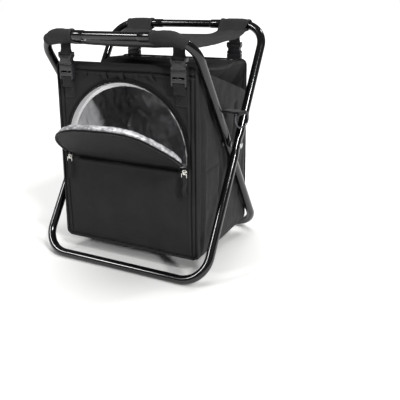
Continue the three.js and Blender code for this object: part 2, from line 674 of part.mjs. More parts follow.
function doorOutline(radius, chordHeight, corner) {
  const points = archPoints(radius, chordHeight);
  const high = chordHeight + corner;
  const kept = points.filter(([, z]) => z > high);
  const foot = Math.abs(points[0][0]) - corner;
  const shoulder = (side) => {
    const edge = kept[side > 0 ? 0 : kept.length - 1];
    const bow = [side * (Math.abs(edge[0]) - corner / 4), chordHeight + corner / 4];
    return side > 0 ? [[foot, chordHeight], bow] : [bow, [-foot, chordHeight]];
  };
  return outline([...shoulder(1), ...kept, ...shoulder(-1)]);
}

function tapeBand(innerRadius, outerRadius, endDeg) {
  const outer = arc(0, DOOR_CENTRE_HEIGHT, outerRadius, -endDeg, 180 + endDeg, ARCH_STEPS);
  const inner = arc(0, DOOR_CENTRE_HEIGHT, innerRadius, 180 + endDeg, -endDeg, ARCH_STEPS);
  return plateAcross(outline([...outer, ...inner]), TAPE_FACE - TAPE_THICKNESS, TAPE_THICKNESS);
}

const doorChord = DOOR_HINGE_HEIGHT + HINGE_GAP;
const plugChord = DOOR_HINGE_HEIGHT + DOOR_PLUG_RISE;
const doorShell = plateAcross(doorOutline(DOOR_RADIUS, doorChord, DOOR_CORNER), -PANEL_FRONT, SHELL);
add(door, "door_panel", onDoor(doorShell), fabric());

const doorFoamFront = FRONT_INSIDE + CLEARANCE;
const plugOutline = (inset) => doorOutline(DOOR_PLUG_RADIUS - inset, plugChord + inset, DOOR_CORNER);
const doorFoam = plateAcross(plugOutline(LINER + CLEARANCE), doorFoamFront, DOOR_FOAM);
add(door, "door_foam", onDoor(doorFoam), foam());
const cupDepth = DOOR_FOAM + CLEARANCE + LINER;
const cupHollow = plateAcross(plugOutline(LINER), doorFoamFront - OVERRUN, DOOR_FOAM + CLEARANCE + OVERRUN);
const doorCup = cut(plateAcross(plugOutline(0), doorFoamFront, cupDepth), cupHollow);
add(door, "door_liner", onDoor(doorCup), silverFilm());
const doorTape = tapeBand(
  TAPE_MEETING_RADIUS - CLEARANCE / 2 - TAPE_WIDTH, TAPE_MEETING_RADIUS - CLEARANCE / 2, DOOR_TAPE_START_DEG);
add(door, "door_zip_tape", onDoor(doorTape), zipTape());

const bagTape = tapeBand(
  TAPE_MEETING_RADIUS + CLEARANCE / 2, TAPE_MEETING_RADIUS + CLEARANCE / 2 + TAPE_WIDTH, BAG_TAPE_END_DEG);
add(stool, "bag_zip_tape", bagTape, zipTape());
const bindingHalf = DOOR_RADIUS - 1.5 * DOOR_CORNER;
const binding = cylinderAlongX(
  BINDING_RADIUS, -bindingHalf, bindingHalf, DOOR_HINGE_Y, DOOR_HINGE_HEIGHT, WIRE_SIDES);
add(stool, "door_hinge_binding", binding, fabric());

// A strip of webbing along a path of points, drawn in two dimensions
function ribbonShape(points, thickness) {
  const path = points.map(([a, b]) => new THREE.Vector2(a, b));
  const offset = (side) => path.map((point, i) => {
    const before = path[Math.max(i - 1, 0)];
    const after = path[Math.min(i + 1, path.length - 1)];
    const inward = point.clone().sub(before).normalize();
    const outward = after.clone().sub(point).normalize();
    if (i === 0) inward.copy(outward);
    if (i === path.length - 1) outward.copy(inward);
    const mitre = inward.clone().add(outward).normalize();
    const stretch = 1 / Math.max(mitre.dot(outward), 0.5);
    return point.clone().add(
      new THREE.Vector2(-mitre.y, mitre.x).multiplyScalar((side * stretch * thickness) / 2));
  });
  return new THREE.Shape([...offset(1), ...offset(-1).reverse()]);
}

// A strap that comes down, goes round a bar at the origin and ends beside itself
function hookPoints(barReach, thickness, longEnd, shortEnd) {
  const radius = barReach + CLEARANCE + thickness / 2;
  const strand = thickness / 2 + CLEARANCE / 2;
  const neck = 2 * radius;
  return [
    [strand, longEnd],
    [strand, neck],
    ...arc(0, 0, radius, 25, -205, 9),
    [-strand, neck],
    [-strand, shortEnd],
  ];
}

// Zip sliders at the feet of the arch, each with a wire loop and a fabric tab
const sliderHeight = DOOR_CENTRE_HEIGHT - TAPE_MEETING_RADIUS * Math.sin(rad(SLIDER_DEG));
const sliderOffset = TAPE_MEETING_RADIUS * Math.cos(rad(SLIDER_DEG));
const sliderBack = TAPE_FACE - TAPE_THICKNESS - CLEARANCE;
const sliderFront = sliderBack - SLIDER_THICKNESS;
const bridgeHole = PULL_WIRE_RADIUS + CLEARANCE;
const bridgeY = sliderFront - BRIDGE_DEPTH / 2;
const bridgeHeight = sliderHeight - BRIDGE_LENGTH / 2 + 2 * bridgeHole;

function zipSlider() {
  const halfWidth = SLIDER_WIDTH / 2;
  const halfLength = SLIDER_LENGTH / 2;
  const shape = outline([
    [-halfWidth * 0.6, -halfLength], [halfWidth * 0.6, -halfLength], [halfWidth, halfLength * 0.3],
    [halfWidth * 0.8, halfLength], [-halfWidth * 0.8, halfLength], [-halfWidth, halfLength * 0.3],
  ]);
  const body = plateAcross(shape, sliderFront, SLIDER_THICKNESS).translate(sliderOffset, 0, sliderHeight);
  const bridge = box(
    sliderOffset - BRIDGE_WIDTH / 2, sliderOffset + BRIDGE_WIDTH / 2,
    sliderFront - BRIDGE_DEPTH, sliderFront + SLIDER_THICKNESS / 2,
    sliderHeight - BRIDGE_LENGTH / 2, sliderHeight + BRIDGE_LENGTH / 2);
  const hole = cylinderAlongX(
    bridgeHole, sliderOffset - SLIDER_WIDTH, sliderOffset + SLIDER_WIDTH, bridgeY, bridgeHeight, WIRE_SIDES);
  return cut(join(body, bridge), hole);
}

function pullLoop() {
  const halfWidth = PULL_LOOP_WIDTH / 2 - PULL_WIRE_RADIUS;
  const drop = PULL_LOOP_HEIGHT - 2 * PULL_WIRE_RADIUS;
  const corner = PULL_WIRE_RADIUS * 1.2;
  const shape = roundedPanel(halfWidth, -drop, 0, corner);
  const points = shape.getPoints();
  return wireLoop(
    points.map((p) => new THREE.Vector3(p.x, 0, p.y)), new THREE.Vector3(0, 1, 0), PULL_WIRE_RADIUS, 6)
    .translate(sliderOffset, bridgeY, bridgeHeight);
}

function pullTab() {
  const points = hookPoints(PULL_WIRE_RADIUS, PULL_TAB_LAYER, PULL_TAB_LENGTH, PULL_TAB_LENGTH);
  const geometry = plateAlong(ribbonShape(points, PULL_TAB_LAYER), 0, PULL_TAB_WIDTH);
  const wireHeight = bridgeHeight - PULL_LOOP_HEIGHT + 2 * PULL_WIRE_RADIUS;
  return geometry.rotateX(Math.PI).translate(sliderOffset, bridgeY, wireHeight);
}

add(stool, "zip_slider_right", zipSlider(), bareSteel());
add(stool, "zip_slider_left", mirrored(zipSlider()), bareSteel());
add(stool, "pull_loop_right", pullLoop(), bareSteel());
add(stool, "pull_loop_left", mirrored(pullLoop()), bareSteel());
add(stool, "pull_tab_right", pullTab(), webbing());
add(stool, "pull_tab_left", mirrored(pullTab()), webbing());

// Buckle, drawn with its mouth at the origin, its socket above and the panel at +y
const recessHalf = STRAP_WIDTH / 2 + SLOT_SIDE_CLEARANCE;
const barReach = Math.hypot(BUCKLE_BAR_HEIGHT, BUCKLE_BAR_THICKNESS) / 2;
const loopReach = barReach + CLEARANCE + STRAP_THICKNESS + CLEARANCE;
const socketBarHeight = SOCKET_HEIGHT - BUCKLE_BAR_HEIGHT / 2;
const prongBarHeight = -PRONG_BASE_HEIGHT + BUCKLE_BAR_HEIGHT / 2;

// Space round a buckle bar for the strap that loops over it
function barRecess(height, side) {
  const reach = SOCKET_THICKNESS / 2 + OVERRUN;
  const far = height + side * (BUCKLE_BAR_HEIGHT / 2 + OVERRUN);
  const near = height - side * loopReach;
  const space = box(-recessHalf, recessHalf, -reach, reach, Math.min(far, near), Math.max(far, near));
  const bar = box(
    -recessHalf - OVERRUN, recessHalf + OVERRUN, -BUCKLE_BAR_THICKNESS / 2, BUCKLE_BAR_THICKNESS / 2,
    height - BUCKLE_BAR_HEIGHT / 2, height + BUCKLE_BAR_HEIGHT / 2);
  return cut(space, bar);
}

function buckleSocket() {
  const lip = BUCKLE_HALF_WIDTH - 0.8 * SLOT_SIDE_CLEARANCE;
  const side = [
    [lip, 0], [lip, SOCKET_HEIGHT * 0.1], [BUCKLE_WAIST, SOCKET_HEIGHT * 0.3],
    [BUCKLE_WAIST, SOCKET_HEIGHT * 0.42], [BUCKLE_HALF_WIDTH, SOCKET_HEIGHT * 0.62],
    [BUCKLE_HALF_WIDTH, SOCKET_HEIGHT * 0.92], [BUCKLE_HALF_WIDTH * 0.93, SOCKET_HEIGHT],
  ];
  const shape = outline([...side, ...side.map(([x, z]) => [-x, z]).reverse()]);
  const body = plateAcross(shape, -SOCKET_THICKNESS / 2, SOCKET_THICKNESS);
  const reach = BUCKLE_HALF_WIDTH + OVERRUN;
  const cavity = box(-reach, reach, -PRONG_CAVITY / 2, PRONG_CAVITY / 2, -OVERRUN, CAVITY_DEPTH);
  return cut(body, cavity, barRecess(socketBarHeight, 1));
}

function buckleProngs() {
  const half = BUCKLE_HALF_WIDTH - CLEARANCE;
  const shoulder = -CLEARANCE;
  const base = plateAcross(
    roundedPanel(half, -PRONG_BASE_HEIGHT, shoulder, PRONG_BASE_HEIGHT / 12),
    -PRONG_BASE_THICKNESS / 2, PRONG_BASE_THICKNESS);
  const tip = CAVITY_DEPTH - 2 * CLEARANCE;
  const arm = [
    [half * 0.28, -CAVITY_DEPTH / 4], [half * 0.62, -CAVITY_DEPTH / 4], [half * 0.66, tip * 0.2],
    [BUCKLE_WAIST, tip * 0.3], [BUCKLE_WAIST + CLOTH / 2, tip * 0.55], [BUCKLE_WAIST, tip * 0.9],
    [BUCKLE_WAIST * 0.8, tip], [half * 0.5, tip * 0.9], [half * 0.42, tip * 0.3],
  ];
  const thickness = PRONG_CAVITY - 2 * CLEARANCE;
  const armPlate = plateAcross(outline(arm), -thickness / 2, thickness);
  const tongueHalf = half * 0.12;
  const tongue = box(-tongueHalf, tongueHalf, -thickness / 2, thickness / 2, -CAVITY_DEPTH / 4, tip * 0.8);
  const slotHalf = BUCKLE_BAR_HEIGHT / 2;
  const slotHeight = -PRONG_BASE_HEIGHT / 2;
  const reach = PRONG_BASE_THICKNESS;
  const slot = box(-recessHalf, recessHalf, -reach, reach, slotHeight - slotHalf, slotHeight + slotHalf);
  return cut(join(base, armPlate, mirrored(armPlate), tongue), slot, barRecess(prongBarHeight, -1));
}

// The upper strap hangs from the seat; its top end stops under the sling
function upperStrap(topHeight) {
  const points = hookPoints(barReach, STRAP_THICKNESS, topHeight - socketBarHeight, topHeight - socketBarHeight);
  return plateAlong(ribbonShape(points, STRAP_THICKNESS), 0, STRAP_WIDTH).translate(0, 0, socketBarHeight);
}

// The lower webbing loops over the prong bar and lies flat on the panel
function lowerWebbing() {
  const radius = barReach + CLEARANCE + STRAP_THICKNESS / 2;
  const strand = STRAP_THICKNESS / 2 + CLEARANCE / 2;
  const flat = BUCKLE_STANDOFF - CLEARANCE - STRAP_THICKNESS / 2;
  const neck = prongBarHeight - 2 * radius;
  const points = [
    [flat, -WEBBING_DROP],
    [flat, neck - 2 * STRAP_THICKNESS],
    [strand, neck],
    ...arc(0, prongBarHeight, radius, -25, 205, 9),
    [-strand, neck],
    [-strand, neck - 3 * STRAP_THICKNESS],
  ];
  return plateAlong(ribbonShape(points, STRAP_THICKNESS), 0, STRAP_WIDTH);
}

function slingUnderside(side) {
  const edge = HANGER_OFFSET + STRAP_WIDTH / 2;
  const y = Math.abs(side === FRONT_SIDE ? BUCKLE_FRONT_Y : BUCKLE_REAR_Y) - STRAP_THICKNESS - CLEARANCE;
  const along = (side * y) / Math.abs(sheetEdge(side, edge).y);
  return sheetPoint(edge, along).z - CLOTH / 2;
}

function hanger(side, sideName, x, xName) {
  const group = new THREE.Group();
  group.position.set(x, side === FRONT_SIDE ? BUCKLE_FRONT_Y : BUCKLE_REAR_Y, BUCKLE_MOUTH_HEIGHT);
  group.rotation.z = side === FRONT_SIDE ? 0 : Math.PI;
  stool.add(group);
  const strapTop = slingUnderside(side) - STRAP_TOP_GAP - BUCKLE_MOUTH_HEIGHT;
  const place = `${sideName}_${xName}`;
  add(group, `upper_strap_${place}`, upperStrap(strapTop), webbing());
  add(group, `buckle_socket_${place}`, buckleSocket(), plastic());
  add(group, `buckle_prongs_${place}`, buckleProngs(), plastic());
  add(group, `lower_webbing_${place}`, lowerWebbing(), webbing());
}

for (const [x, xName] of [[-HANGER_OFFSET, "left"], [HANGER_OFFSET, "right"]]) {
  hanger(FRONT_SIDE, "front", x, xName);
  hanger(REAR_SIDE, "rear", x, xName);
}

// Side rings on webbing tabs that reach out past the legs
const ringHalf = RING_EYE / 2 + RING_WIRE_RADIUS;
const ringTurn = rad(RING_TURN_DEG);
const legOutside = OUTER_HALF_WIDTH + TUBE_RADIUS;
const ringX = legOutside + RING_OUTSIDE + ringHalf * Math.cos(ringTurn) + RING_WIRE_RADIUS;
const tabRun = (ringX - GUSSET_OUTSIDE) / Math.sin(ringTurn);
const ringY = RING_TAB_ROOT_Y - tabRun * Math.cos(ringTurn);
const tabDip = Math.atan2(RING_TAB_ROOT_HEIGHT - RING_BAR_HEIGHT, tabRun);

function dRing() {
  const roundCentre = -RING_DROP + ringHalf;
  const path = [
    ...arc(ringHalf - RING_CORNER, -RING_CORNER, RING_CORNER, 90, 0, 2),
    ...arc(0, roundCentre, ringHalf, 0, -180, 10),
    ...arc(-ringHalf + RING_CORNER, -RING_CORNER, RING_CORNER, 180, 90, 2),
  ];
  const points = path.map(([a, b]) => new THREE.Vector3(a, 0, b));
  return wireLoop(points, new THREE.Vector3(0, 1, 0), RING_WIRE_RADIUS)
    .rotateZ(ringTurn).translate(ringX, ringY, RING_BAR_HEIGHT);
}

function ringTab() {
  const points = hookPoints(RING_WIRE_RADIUS, STRAP_THICKNESS, tabRun + RING_WEBBING, tabRun + RING_WEBBING);
  const strip = plateAlong(ribbonShape(points, STRAP_THICKNESS), 0, RING_WEBBING)
    .rotateX(tabDip - Math.PI / 2)
    .rotateZ(ringTurn)
    .translate(ringX, ringY, RING_BAR_HEIGHT);
  const inside = box(
    0, GUSSET_OUTSIDE + CLEARANCE, -PANEL_FRONT, PANEL_REAR, BAG_BOTTOM, BAG_FRONT_TOP);
  return cut(strip, inside);
}

add(stool, "d_ring_right", dRing(), bareSteel());
add(stool, "d_ring_left", mirrored(dRing()), bareSteel());
add(stool, "ring_tab_right", ringTab(), webbing());
add(stool, "ring_tab_left", mirrored(ringTab()), webbing());

export default stool;
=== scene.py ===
import math

import bpy
import numpy as np
from mathutils import Matrix, Vector, noise


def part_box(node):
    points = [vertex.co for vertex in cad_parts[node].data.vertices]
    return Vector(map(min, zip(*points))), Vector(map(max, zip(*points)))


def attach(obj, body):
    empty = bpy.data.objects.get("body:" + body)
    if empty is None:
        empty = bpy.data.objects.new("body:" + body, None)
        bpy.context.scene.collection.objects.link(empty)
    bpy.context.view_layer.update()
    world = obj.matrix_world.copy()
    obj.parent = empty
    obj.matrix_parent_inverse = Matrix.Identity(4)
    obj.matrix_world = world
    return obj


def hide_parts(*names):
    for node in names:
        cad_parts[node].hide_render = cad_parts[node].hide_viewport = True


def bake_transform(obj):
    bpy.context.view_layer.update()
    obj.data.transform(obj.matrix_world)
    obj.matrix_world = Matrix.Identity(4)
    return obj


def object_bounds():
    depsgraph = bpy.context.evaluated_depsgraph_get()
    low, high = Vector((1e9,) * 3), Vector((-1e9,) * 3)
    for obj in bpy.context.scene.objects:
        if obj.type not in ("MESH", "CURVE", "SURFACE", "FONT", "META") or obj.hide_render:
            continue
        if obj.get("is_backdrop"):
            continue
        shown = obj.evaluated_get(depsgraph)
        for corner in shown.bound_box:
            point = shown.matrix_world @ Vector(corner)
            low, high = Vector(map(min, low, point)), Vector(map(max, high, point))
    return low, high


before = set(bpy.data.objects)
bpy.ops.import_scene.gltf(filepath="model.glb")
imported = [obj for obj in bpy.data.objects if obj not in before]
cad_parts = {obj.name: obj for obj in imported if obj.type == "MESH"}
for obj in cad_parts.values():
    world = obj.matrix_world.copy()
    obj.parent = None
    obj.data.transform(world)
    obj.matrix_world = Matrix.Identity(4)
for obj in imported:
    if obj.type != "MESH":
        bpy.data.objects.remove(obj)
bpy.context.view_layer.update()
bpy.ops.object.select_all(action="DESELECT")

# The studio: a camera at the photograph's place, a pale floor that runs up into a white surround, and
# broad soft lamps. The long lamps draw the bright streaks along the glossy tubes.
MM = 0.001

CAMERA_PLACE, CAMERA_ANGLES = (537, -947, 484), (29.61, 15.16, -1.47)
camera_turn, camera_tilt, camera_roll = (math.radians(a) for a in CAMERA_ANGLES)
camera_back = Vector((
    math.sin(camera_turn) * math.cos(camera_tilt),
    -math.cos(camera_turn) * math.cos(camera_tilt),
    math.sin(camera_tilt)))
level_right = Vector((math.cos(camera_turn), math.sin(camera_turn), 0))
level_up = camera_back.cross(level_right)
camera_right = math.cos(camera_roll) * level_right + math.sin(camera_roll) * level_up
camera_up = camera_back.cross(camera_right)
bpy.ops.object.camera_add(location=Vector(CAMERA_PLACE) * MM)
camera = bpy.context.object
camera.rotation_euler = Matrix((camera_right, camera_up, camera_back)).transposed().to_euler()
camera.data.lens = 54.98
camera.data.shift_x, camera.data.shift_y = 0.1125, -0.1375
bpy.context.scene.camera = camera
bpy.context.scene.view_settings.view_transform = "Standard"


def add_node(material, kind, links=None, values=None, **settings):
    """Adds a node with its links, given as socket: (node, output), its socket values and its settings."""
    made = material.node_tree.nodes.new("ShaderNode" + kind)
    for name, value in settings.items():
        setattr(made, name, value)
    for name, value in (values or {}).items():
        made.inputs[name].default_value = value
    for name, (source, output) in (links or {}).items():
        material.node_tree.links.new(source.outputs[output], made.inputs[name])
    return made


def linear(code):
    parts = [int(code[i:i + 2], 16) / 255 for i in (1, 3, 5)]
    return [*(p / 12.92 if p <= 0.04045 else ((p + 0.055) / 1.055) ** 2.4 for p in parts), 1]


def new_material(name, colour, roughness, **values):
    material = bpy.data.materials.new(name)
    material.use_nodes = True
    sockets = material.node_tree.nodes["Principled BSDF"].inputs
    sockets["Base Color"].default_value = material.diffuse_color = linear(colour)
    sockets["Roughness"].default_value = roughness
    for key, value in values.items():
        sockets[key.replace("_", " ")].default_value = value
    return material


floor_material = new_material("matt white studio paper", "#cfcfce", 0.9)
bpy.ops.mesh.primitive_plane_add(size=14, location=(0, 0, -0.0003))
studio_floor = bpy.context.object
studio_floor.name = "studio_floor"
studio_floor.data.materials.append(floor_material)
studio_floor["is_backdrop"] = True

world = bpy.data.worlds.new("white surround")
bpy.context.scene.world = world
world.use_nodes = True
surround = world.node_tree.nodes["Background"]
surround.inputs["Color"].default_value = (1, 1, 1, 1)
ray = world.node_tree.nodes.new("ShaderNodeLightPath")
AS_LIGHT, AS_BACKGROUND = 0.16, 1.0
brightness = world.node_tree.nodes.new("ShaderNodeMapRange")
brightness.inputs["To Min"].default_value = AS_LIGHT
brightness.inputs["To Max"].default_value = AS_BACKGROUND
world.node_tree.links.new(ray.outputs["Is Camera Ray"], brightness.inputs["Value"])
world.node_tree.links.new(brightness.outputs["Result"], surround.inputs["Strength"])


def soft_lamp(name, aim_from, strength, spread, seen_in_gloss=True):
    """A lamp far enough off to light the whole floor alike; spread is the angle it fills, in degrees."""
    bpy.ops.object.light_add(type="SUN", location=aim_from)
    lamp = bpy.context.object
    lamp.name = name
    lamp.data.energy = strength
    lamp.data.angle = math.radians(spread)
    lamp.rotation_euler = Vector(aim_from).to_track_quat("Z", "Y").to_euler()
    lamp.visible_glossy = seen_in_gloss


soft_lamp("overhead_lamp", (-0.1, 0.15, 1), 3.2, 50, seen_in_gloss=False)
soft_lamp("right_lamp", (1.2, -0.85, 1.4), 1.9, 9)
soft_lamp("inside_lamp", (1.2, -0.62, 0.4), 3.2, 5, seen_in_gloss=False)
soft_lamp("left_lamp", (-1.0, -1.15, 1.2), 0.8, 10)
soft_lamp("back_lamp", (0.7, 1.2, 1.5), 0.7, 10)


# The folding frame: two loops of bent steel tube, 15 mm across and 1 mm thick, painted gloss black. Each top
# bar is a short grip tube held in swaged sockets, and both loops are pressed a little flat at the rivets.
BAR_Y, BAR_HEIGHT = 134, 400
LEG_RUN, LEG_RISE, LEG_SPAN = 273, 392.5, 478.1
LEAN = math.atan2(LEG_RUN, LEG_RISE)
PIVOT_HEIGHT = BAR_HEIGHT - LEG_RISE * BAR_Y / LEG_RUN
BAR_REACH, FOOT_REACH = 234.7, -243.4
HALF_WIDTHS = {-1: 143.5, 1: 160.5}
BEND = 45
TUBE, SOCKET, GRIP = 7.5, 8.4, 7.3
LIP_X, LIP = 51.3, SOCKET - 0.95
GRIP_HALF = 60
FLAT, ROUND = 9, 21


def pick(made):
    bpy.ops.object.select_all(action="DESELECT")
    made.select_set(True)
    bpy.context.view_layer.objects.active = made


def start_ring(name, radius, place, sides=40, filled=False):
    """A ring whose axis lies along X, left in edit mode with all of it selected, ready to be drawn out."""
    bpy.ops.object.select_all(action="DESELECT")
    bpy.ops.mesh.primitive_circle_add(
        vertices=sides, radius=radius * MM, location=Vector(place) * MM, rotation=(0, math.pi / 2, 0),
        fill_type="NGON" if filled else "NOTHING")
    made = bpy.context.object
    made.name = made.data.name = name
    bpy.ops.object.transform_apply(location=True, rotation=True, scale=True)
    bpy.ops.object.mode_set(mode="EDIT")
    bpy.ops.mesh.select_all(action="SELECT")
    return made


def draw(move, grow=None, centre=None):
    """Extrudes what is selected by a move in mm, then scales its end about a centre."""
    bpy.ops.mesh.extrude_region_move(TRANSFORM_OT_translate={"value": Vector(move) * MM})
    if grow:
        bpy.ops.transform.resize(value=grow, center_override=Vector(centre) * MM)


def bend(degrees, centre, steps):
    bpy.ops.mesh.spin(steps=steps, angle=-math.radians(degrees), center=Vector(centre) * MM, axis=(0, 1, 0))


def face_out(made, merge=0.00001):
    pick(made)
    bpy.ops.object.mode_set(mode="EDIT")
    bpy.ops.mesh.select_all(action="SELECT")
    if merge:
        bpy.ops.mesh.remove_doubles(threshold=merge)
        bpy.ops.mesh.fill_holes(sides=0)
    bpy.ops.mesh.select_all(action="SELECT")
    bpy.ops.mesh.normals_make_consistent(inside=False)
    bpy.ops.object.mode_set(mode="OBJECT")


def work(made, kind, **settings):
    pick(made)
    modifier = made.modifiers.new(kind, kind)
    for key, value in settings.items():
        setattr(modifier, key, value)
    bpy.ops.object.modifier_apply(modifier=modifier.name)


def close_up(made, turn, place):
    """Ends the drawing of a piece, turns its faces out and puts it in its place, its object at the origin."""
    bpy.ops.object.mode_set(mode="OBJECT")
    face_out(made)
    made.rotation_euler, made.location = turn, Vector(place) * MM
    bpy.ops.object.transform_apply(location=True, rotation=True, scale=True)


def dress(made, material, body=None, smooth=40):
    made.data.materials.clear()
    made.data.materials.append(material)
    pick(made)
    bpy.ops.object.shade_smooth_by_angle(angle=math.radians(smooth))
    if body:
        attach(made, body)
    return made


def feed(material, socket, source, output):
    """Links an output of a node to a socket of the material's shader."""
    shader = material.node_tree.nodes["Principled BSDF"]
    material.node_tree.links.new(source.outputs[output], shader.inputs[socket])


def clouds(material, scale, detail, roughness=0.5):
    """Noise laid out in the piece's own space."""
    place = add_node(material, "TexCoord")
    return add_node(material, "TexNoise", {"Vector": (place, "Object")},
                    {"Scale": scale, "Detail": detail, "Roughness": roughness})


def bump(material, height, strength, depth, under=None):
    """Adds a bump, depth in mm, over the one under it; the shader shows the last."""
    links = {"Height": height, "Normal": (under, "Normal")} if under else {"Height": height}
    made = add_node(material, "Bump", links, {"Strength": strength, "Distance": depth * MM})
    feed(material, "Normal", made, "Normal")
    return made


def grained(name, colour, roughness, grain, strength, depth, **values):
    """A plain material with fine noise as its bump; grain holds the scale and detail of the noise."""
    material = new_material(name, colour, roughness, **values)
    bump(material, (clouds(material, *grain), "Fac"), strength, depth)
    return material


def unit(share):
    return min(1, max(0, share))


# Gloss enamel baked on drawn steel tube: near black, wet-looking, with a faint orange peel.
tube_enamel = grained(
    "gloss black enamel on steel tube", "#040405", 0.13, (450, 2), 0.08, 0.2,
    Coat_Weight=0.25, Coat_Roughness=0.04, Specular_IOR_Level=0.5)

for loop_name, side in (("inner", -1), ("outer", 1)):
    half_width = HALF_WIDTHS[side]
    corner_x = half_width - BEND
    tube = start_ring(f"{loop_name}_leg_loop", LIP, (LIP_X, 0, BAR_REACH))
    x, radius = LIP_X, LIP
    for next_x, next_radius in ((52.9, SOCKET - 0.2), (53.6, SOCKET), (75, SOCKET), (78, SOCKET - 0.4),
                                (81.5, TUBE), (corner_x, TUBE)):
        ratio = next_radius / radius
        draw((next_x - x, 0, 0), (1, ratio, ratio), (next_x, 0, BAR_REACH))
        x, radius = next_x, next_radius
    bend(90, (corner_x, 0, BAR_REACH - BEND), 18)
    z, wide, deep = BAR_REACH - BEND, TUBE, TUBE
    for next_z in [60, *np.linspace(ROUND, FLAT, 7), *np.linspace(-FLAT, -ROUND, 7), -60, FOOT_REACH + BEND]:
        pressed = unit((ROUND - abs(next_z)) / (ROUND - FLAT))
        pressed = pressed * pressed * (3 - 2 * pressed)
        next_wide, next_deep = TUBE - pressed, TUBE + 0.7 * pressed
        draw((0, 0, next_z - z), (next_wide / wide, next_deep / deep, 1), (half_width, 0, next_z))
        z, wide, deep = next_z, next_wide, next_deep
    bend(90, (corner_x, 0, FOOT_REACH + BEND), 18)
    draw((-corner_x, 0, 0))
    bpy.ops.object.mode_set(mode="OBJECT")
    work(tube, "MIRROR", use_axis=(True, False, False), merge_threshold=0.0001)
    close_up(tube, (-side * LEAN, 0, 0), (0, 0, PIVOT_HEIGHT))
    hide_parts(f"{loop_name}_loop_tube")
    dress(tube, tube_enamel, f"{loop_name}_frame", 30)

    grip = start_ring(f"{loop_name}_grip_bar", GRIP - 1, (-GRIP_HALF, 0, BAR_REACH), filled=True)
    draw((1, 0, 0), (1, GRIP / (GRIP - 1), GRIP / (GRIP - 1)), (1 - GRIP_HALF, 0, BAR_REACH))
    draw((2 * GRIP_HALF - 2, 0, 0))
    draw((1, 0, 0), (1, (GRIP - 1) / GRIP, (GRIP - 1) / GRIP), (GRIP_HALF, 0, BAR_REACH))
    close_up(grip, (-side * LEAN, 0, 0), (0, 0, PIVOT_HEIGHT))
    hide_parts(f"{loop_name}_grip_tube")
    dress(grip, tube_enamel, f"{loop_name}_frame", 30)


# Rivets and washers: zinc-plated steel. Each rivet has a domed head outside and a flat flange inside, and a
# washer keeps the two tubes apart.
def plated(name, colour, scale, least, most):
    """A plated metal whose roughness varies in clouds between two values."""
    material = new_material(name, colour, least, Metallic=1.0)
    level = add_node(material, "MapRange", {"Value": (clouds(material, scale, 3), "Fac")},
                     {"To Min": least, "To Max": most})
    feed(material, "Roughness", level, "Result")
    return material


zinc_steel = plated("bright zinc-plated steel", "#c8c9ca", 900, 0.2, 0.4)


def turned(name, profile, side, filled):
    """A turned part with its axis along X, drawn out ring by ring from (x, radius) pairs."""
    made = start_ring(name, profile[0][1], (profile[0][0], 0, 0), filled=filled)
    for (x, radius), (next_x, next_radius) in zip(profile, profile[1:]):
        draw((next_x - x, 0, 0), (1, next_radius / radius, next_radius / radius), (next_x, 0, 0))
    close_up(made, (0, 0, 0 if side > 0 else math.pi), (0, 0, PIVOT_HEIGHT))
    return made


rivet_profile = [(135.2, 5.2), (135.5, 5.5), (136.4, 5.5), (136.7, 5.2), (136.7, 2.8), (167.3, 2.8), (167.3, 5.1),
                 (167.6, 5.5), (168.3, 5.35), (169, 4.6), (169.5, 3.4), (169.75, 1.8), (169.8, 0.4)]
washer_profile = [(150.3, 3.2), (150.3, 6.8), (150.6, 7), (153.4, 7), (153.7, 6.8), (153.7, 3.2), (150.3, 3.2)]
for side, side_name in ((1, "right"), (-1, "left")):
    for kind, node, profile, filled in (("rivet", "pivot_rivet", rivet_profile, True),
                                        ("washer", "pivot_spacer", washer_profile, False)):
        made = turned(f"{side_name}_{kind}", profile, side, filled)
        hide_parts(f"{node}_{side_name}")
        dress(made, zinc_steel, "inner_frame", 35)


# The seat sling: one layer of stout polyester cloth that sags between the bars. Each corner is wrapped round its
# bar and sewn back under the seat, and the edges at the grips and sides are turned under and stitched.
def piece(name, points, faces, maps=None):
    mesh = bpy.data.meshes.new(name)
    mesh.from_pydata([tuple(p) for p in np.asarray(points, float) * MM], [], faces)
    if maps is not None:
        mesh.uv_layers.new(name="cloth").data.foreach_set("uv", np.asarray(maps, float).ravel())
    made = bpy.data.objects.new(name, mesh)
    bpy.context.scene.collection.objects.link(made)
    return made


def running(steps):
    """Distance from the first point to each, out of the steps between neighbours."""
    return np.concatenate([[0], np.cumsum(np.linalg.norm(steps, axis=-1))])


def cloth_map(rows):
    """Distances in metres across and along a grid of points, as its mean rows and columns have them."""
    across = np.linalg.norm(np.diff(rows, axis=1), axis=2).mean(0)
    along = np.linalg.norm(np.diff(rows, axis=0), axis=2).mean(1)
    return (np.concatenate([[0], np.cumsum(gaps)]) * MM for gaps in (across, along))


def skin(name, rows, wrap=False, capped=False):
    """A cloth surface through rows of points, with its UV map in metres along the cloth."""
    rows = np.asarray(rows, float)
    count, width = rows.shape[:2]
    u, _ = cloth_map(np.concatenate([rows, rows[:, :1]], 1) if wrap else rows)
    _, v = cloth_map(rows)
    faces, maps = [], []
    for i in range(count - 1):
        for j in range(width if wrap else width - 1):
            k = (j + 1) % width
            faces.append((i * width + j, i * width + k, (i + 1) * width + k, (i + 1) * width + j))
            maps += [(u[j], v[i]), (u[j + 1], v[i]), (u[j + 1], v[i + 1]), (u[j], v[i + 1])]
    if capped:
        for start, order in ((0, -1), ((count - 1) * width, 1)):
            faces.append(tuple(start + j for j in range(width))[::order])
            maps += [(0, 0)] * width
    return piece(name, rows.reshape(-1, 3), faces, maps)


def closed_skin(name, rows, capped=True, merge=0.00001):
    """A skin that closes round each row, with its faces turned out."""
    made = skin(name, rows, True, capped)
    face_out(made, merge)
    return made


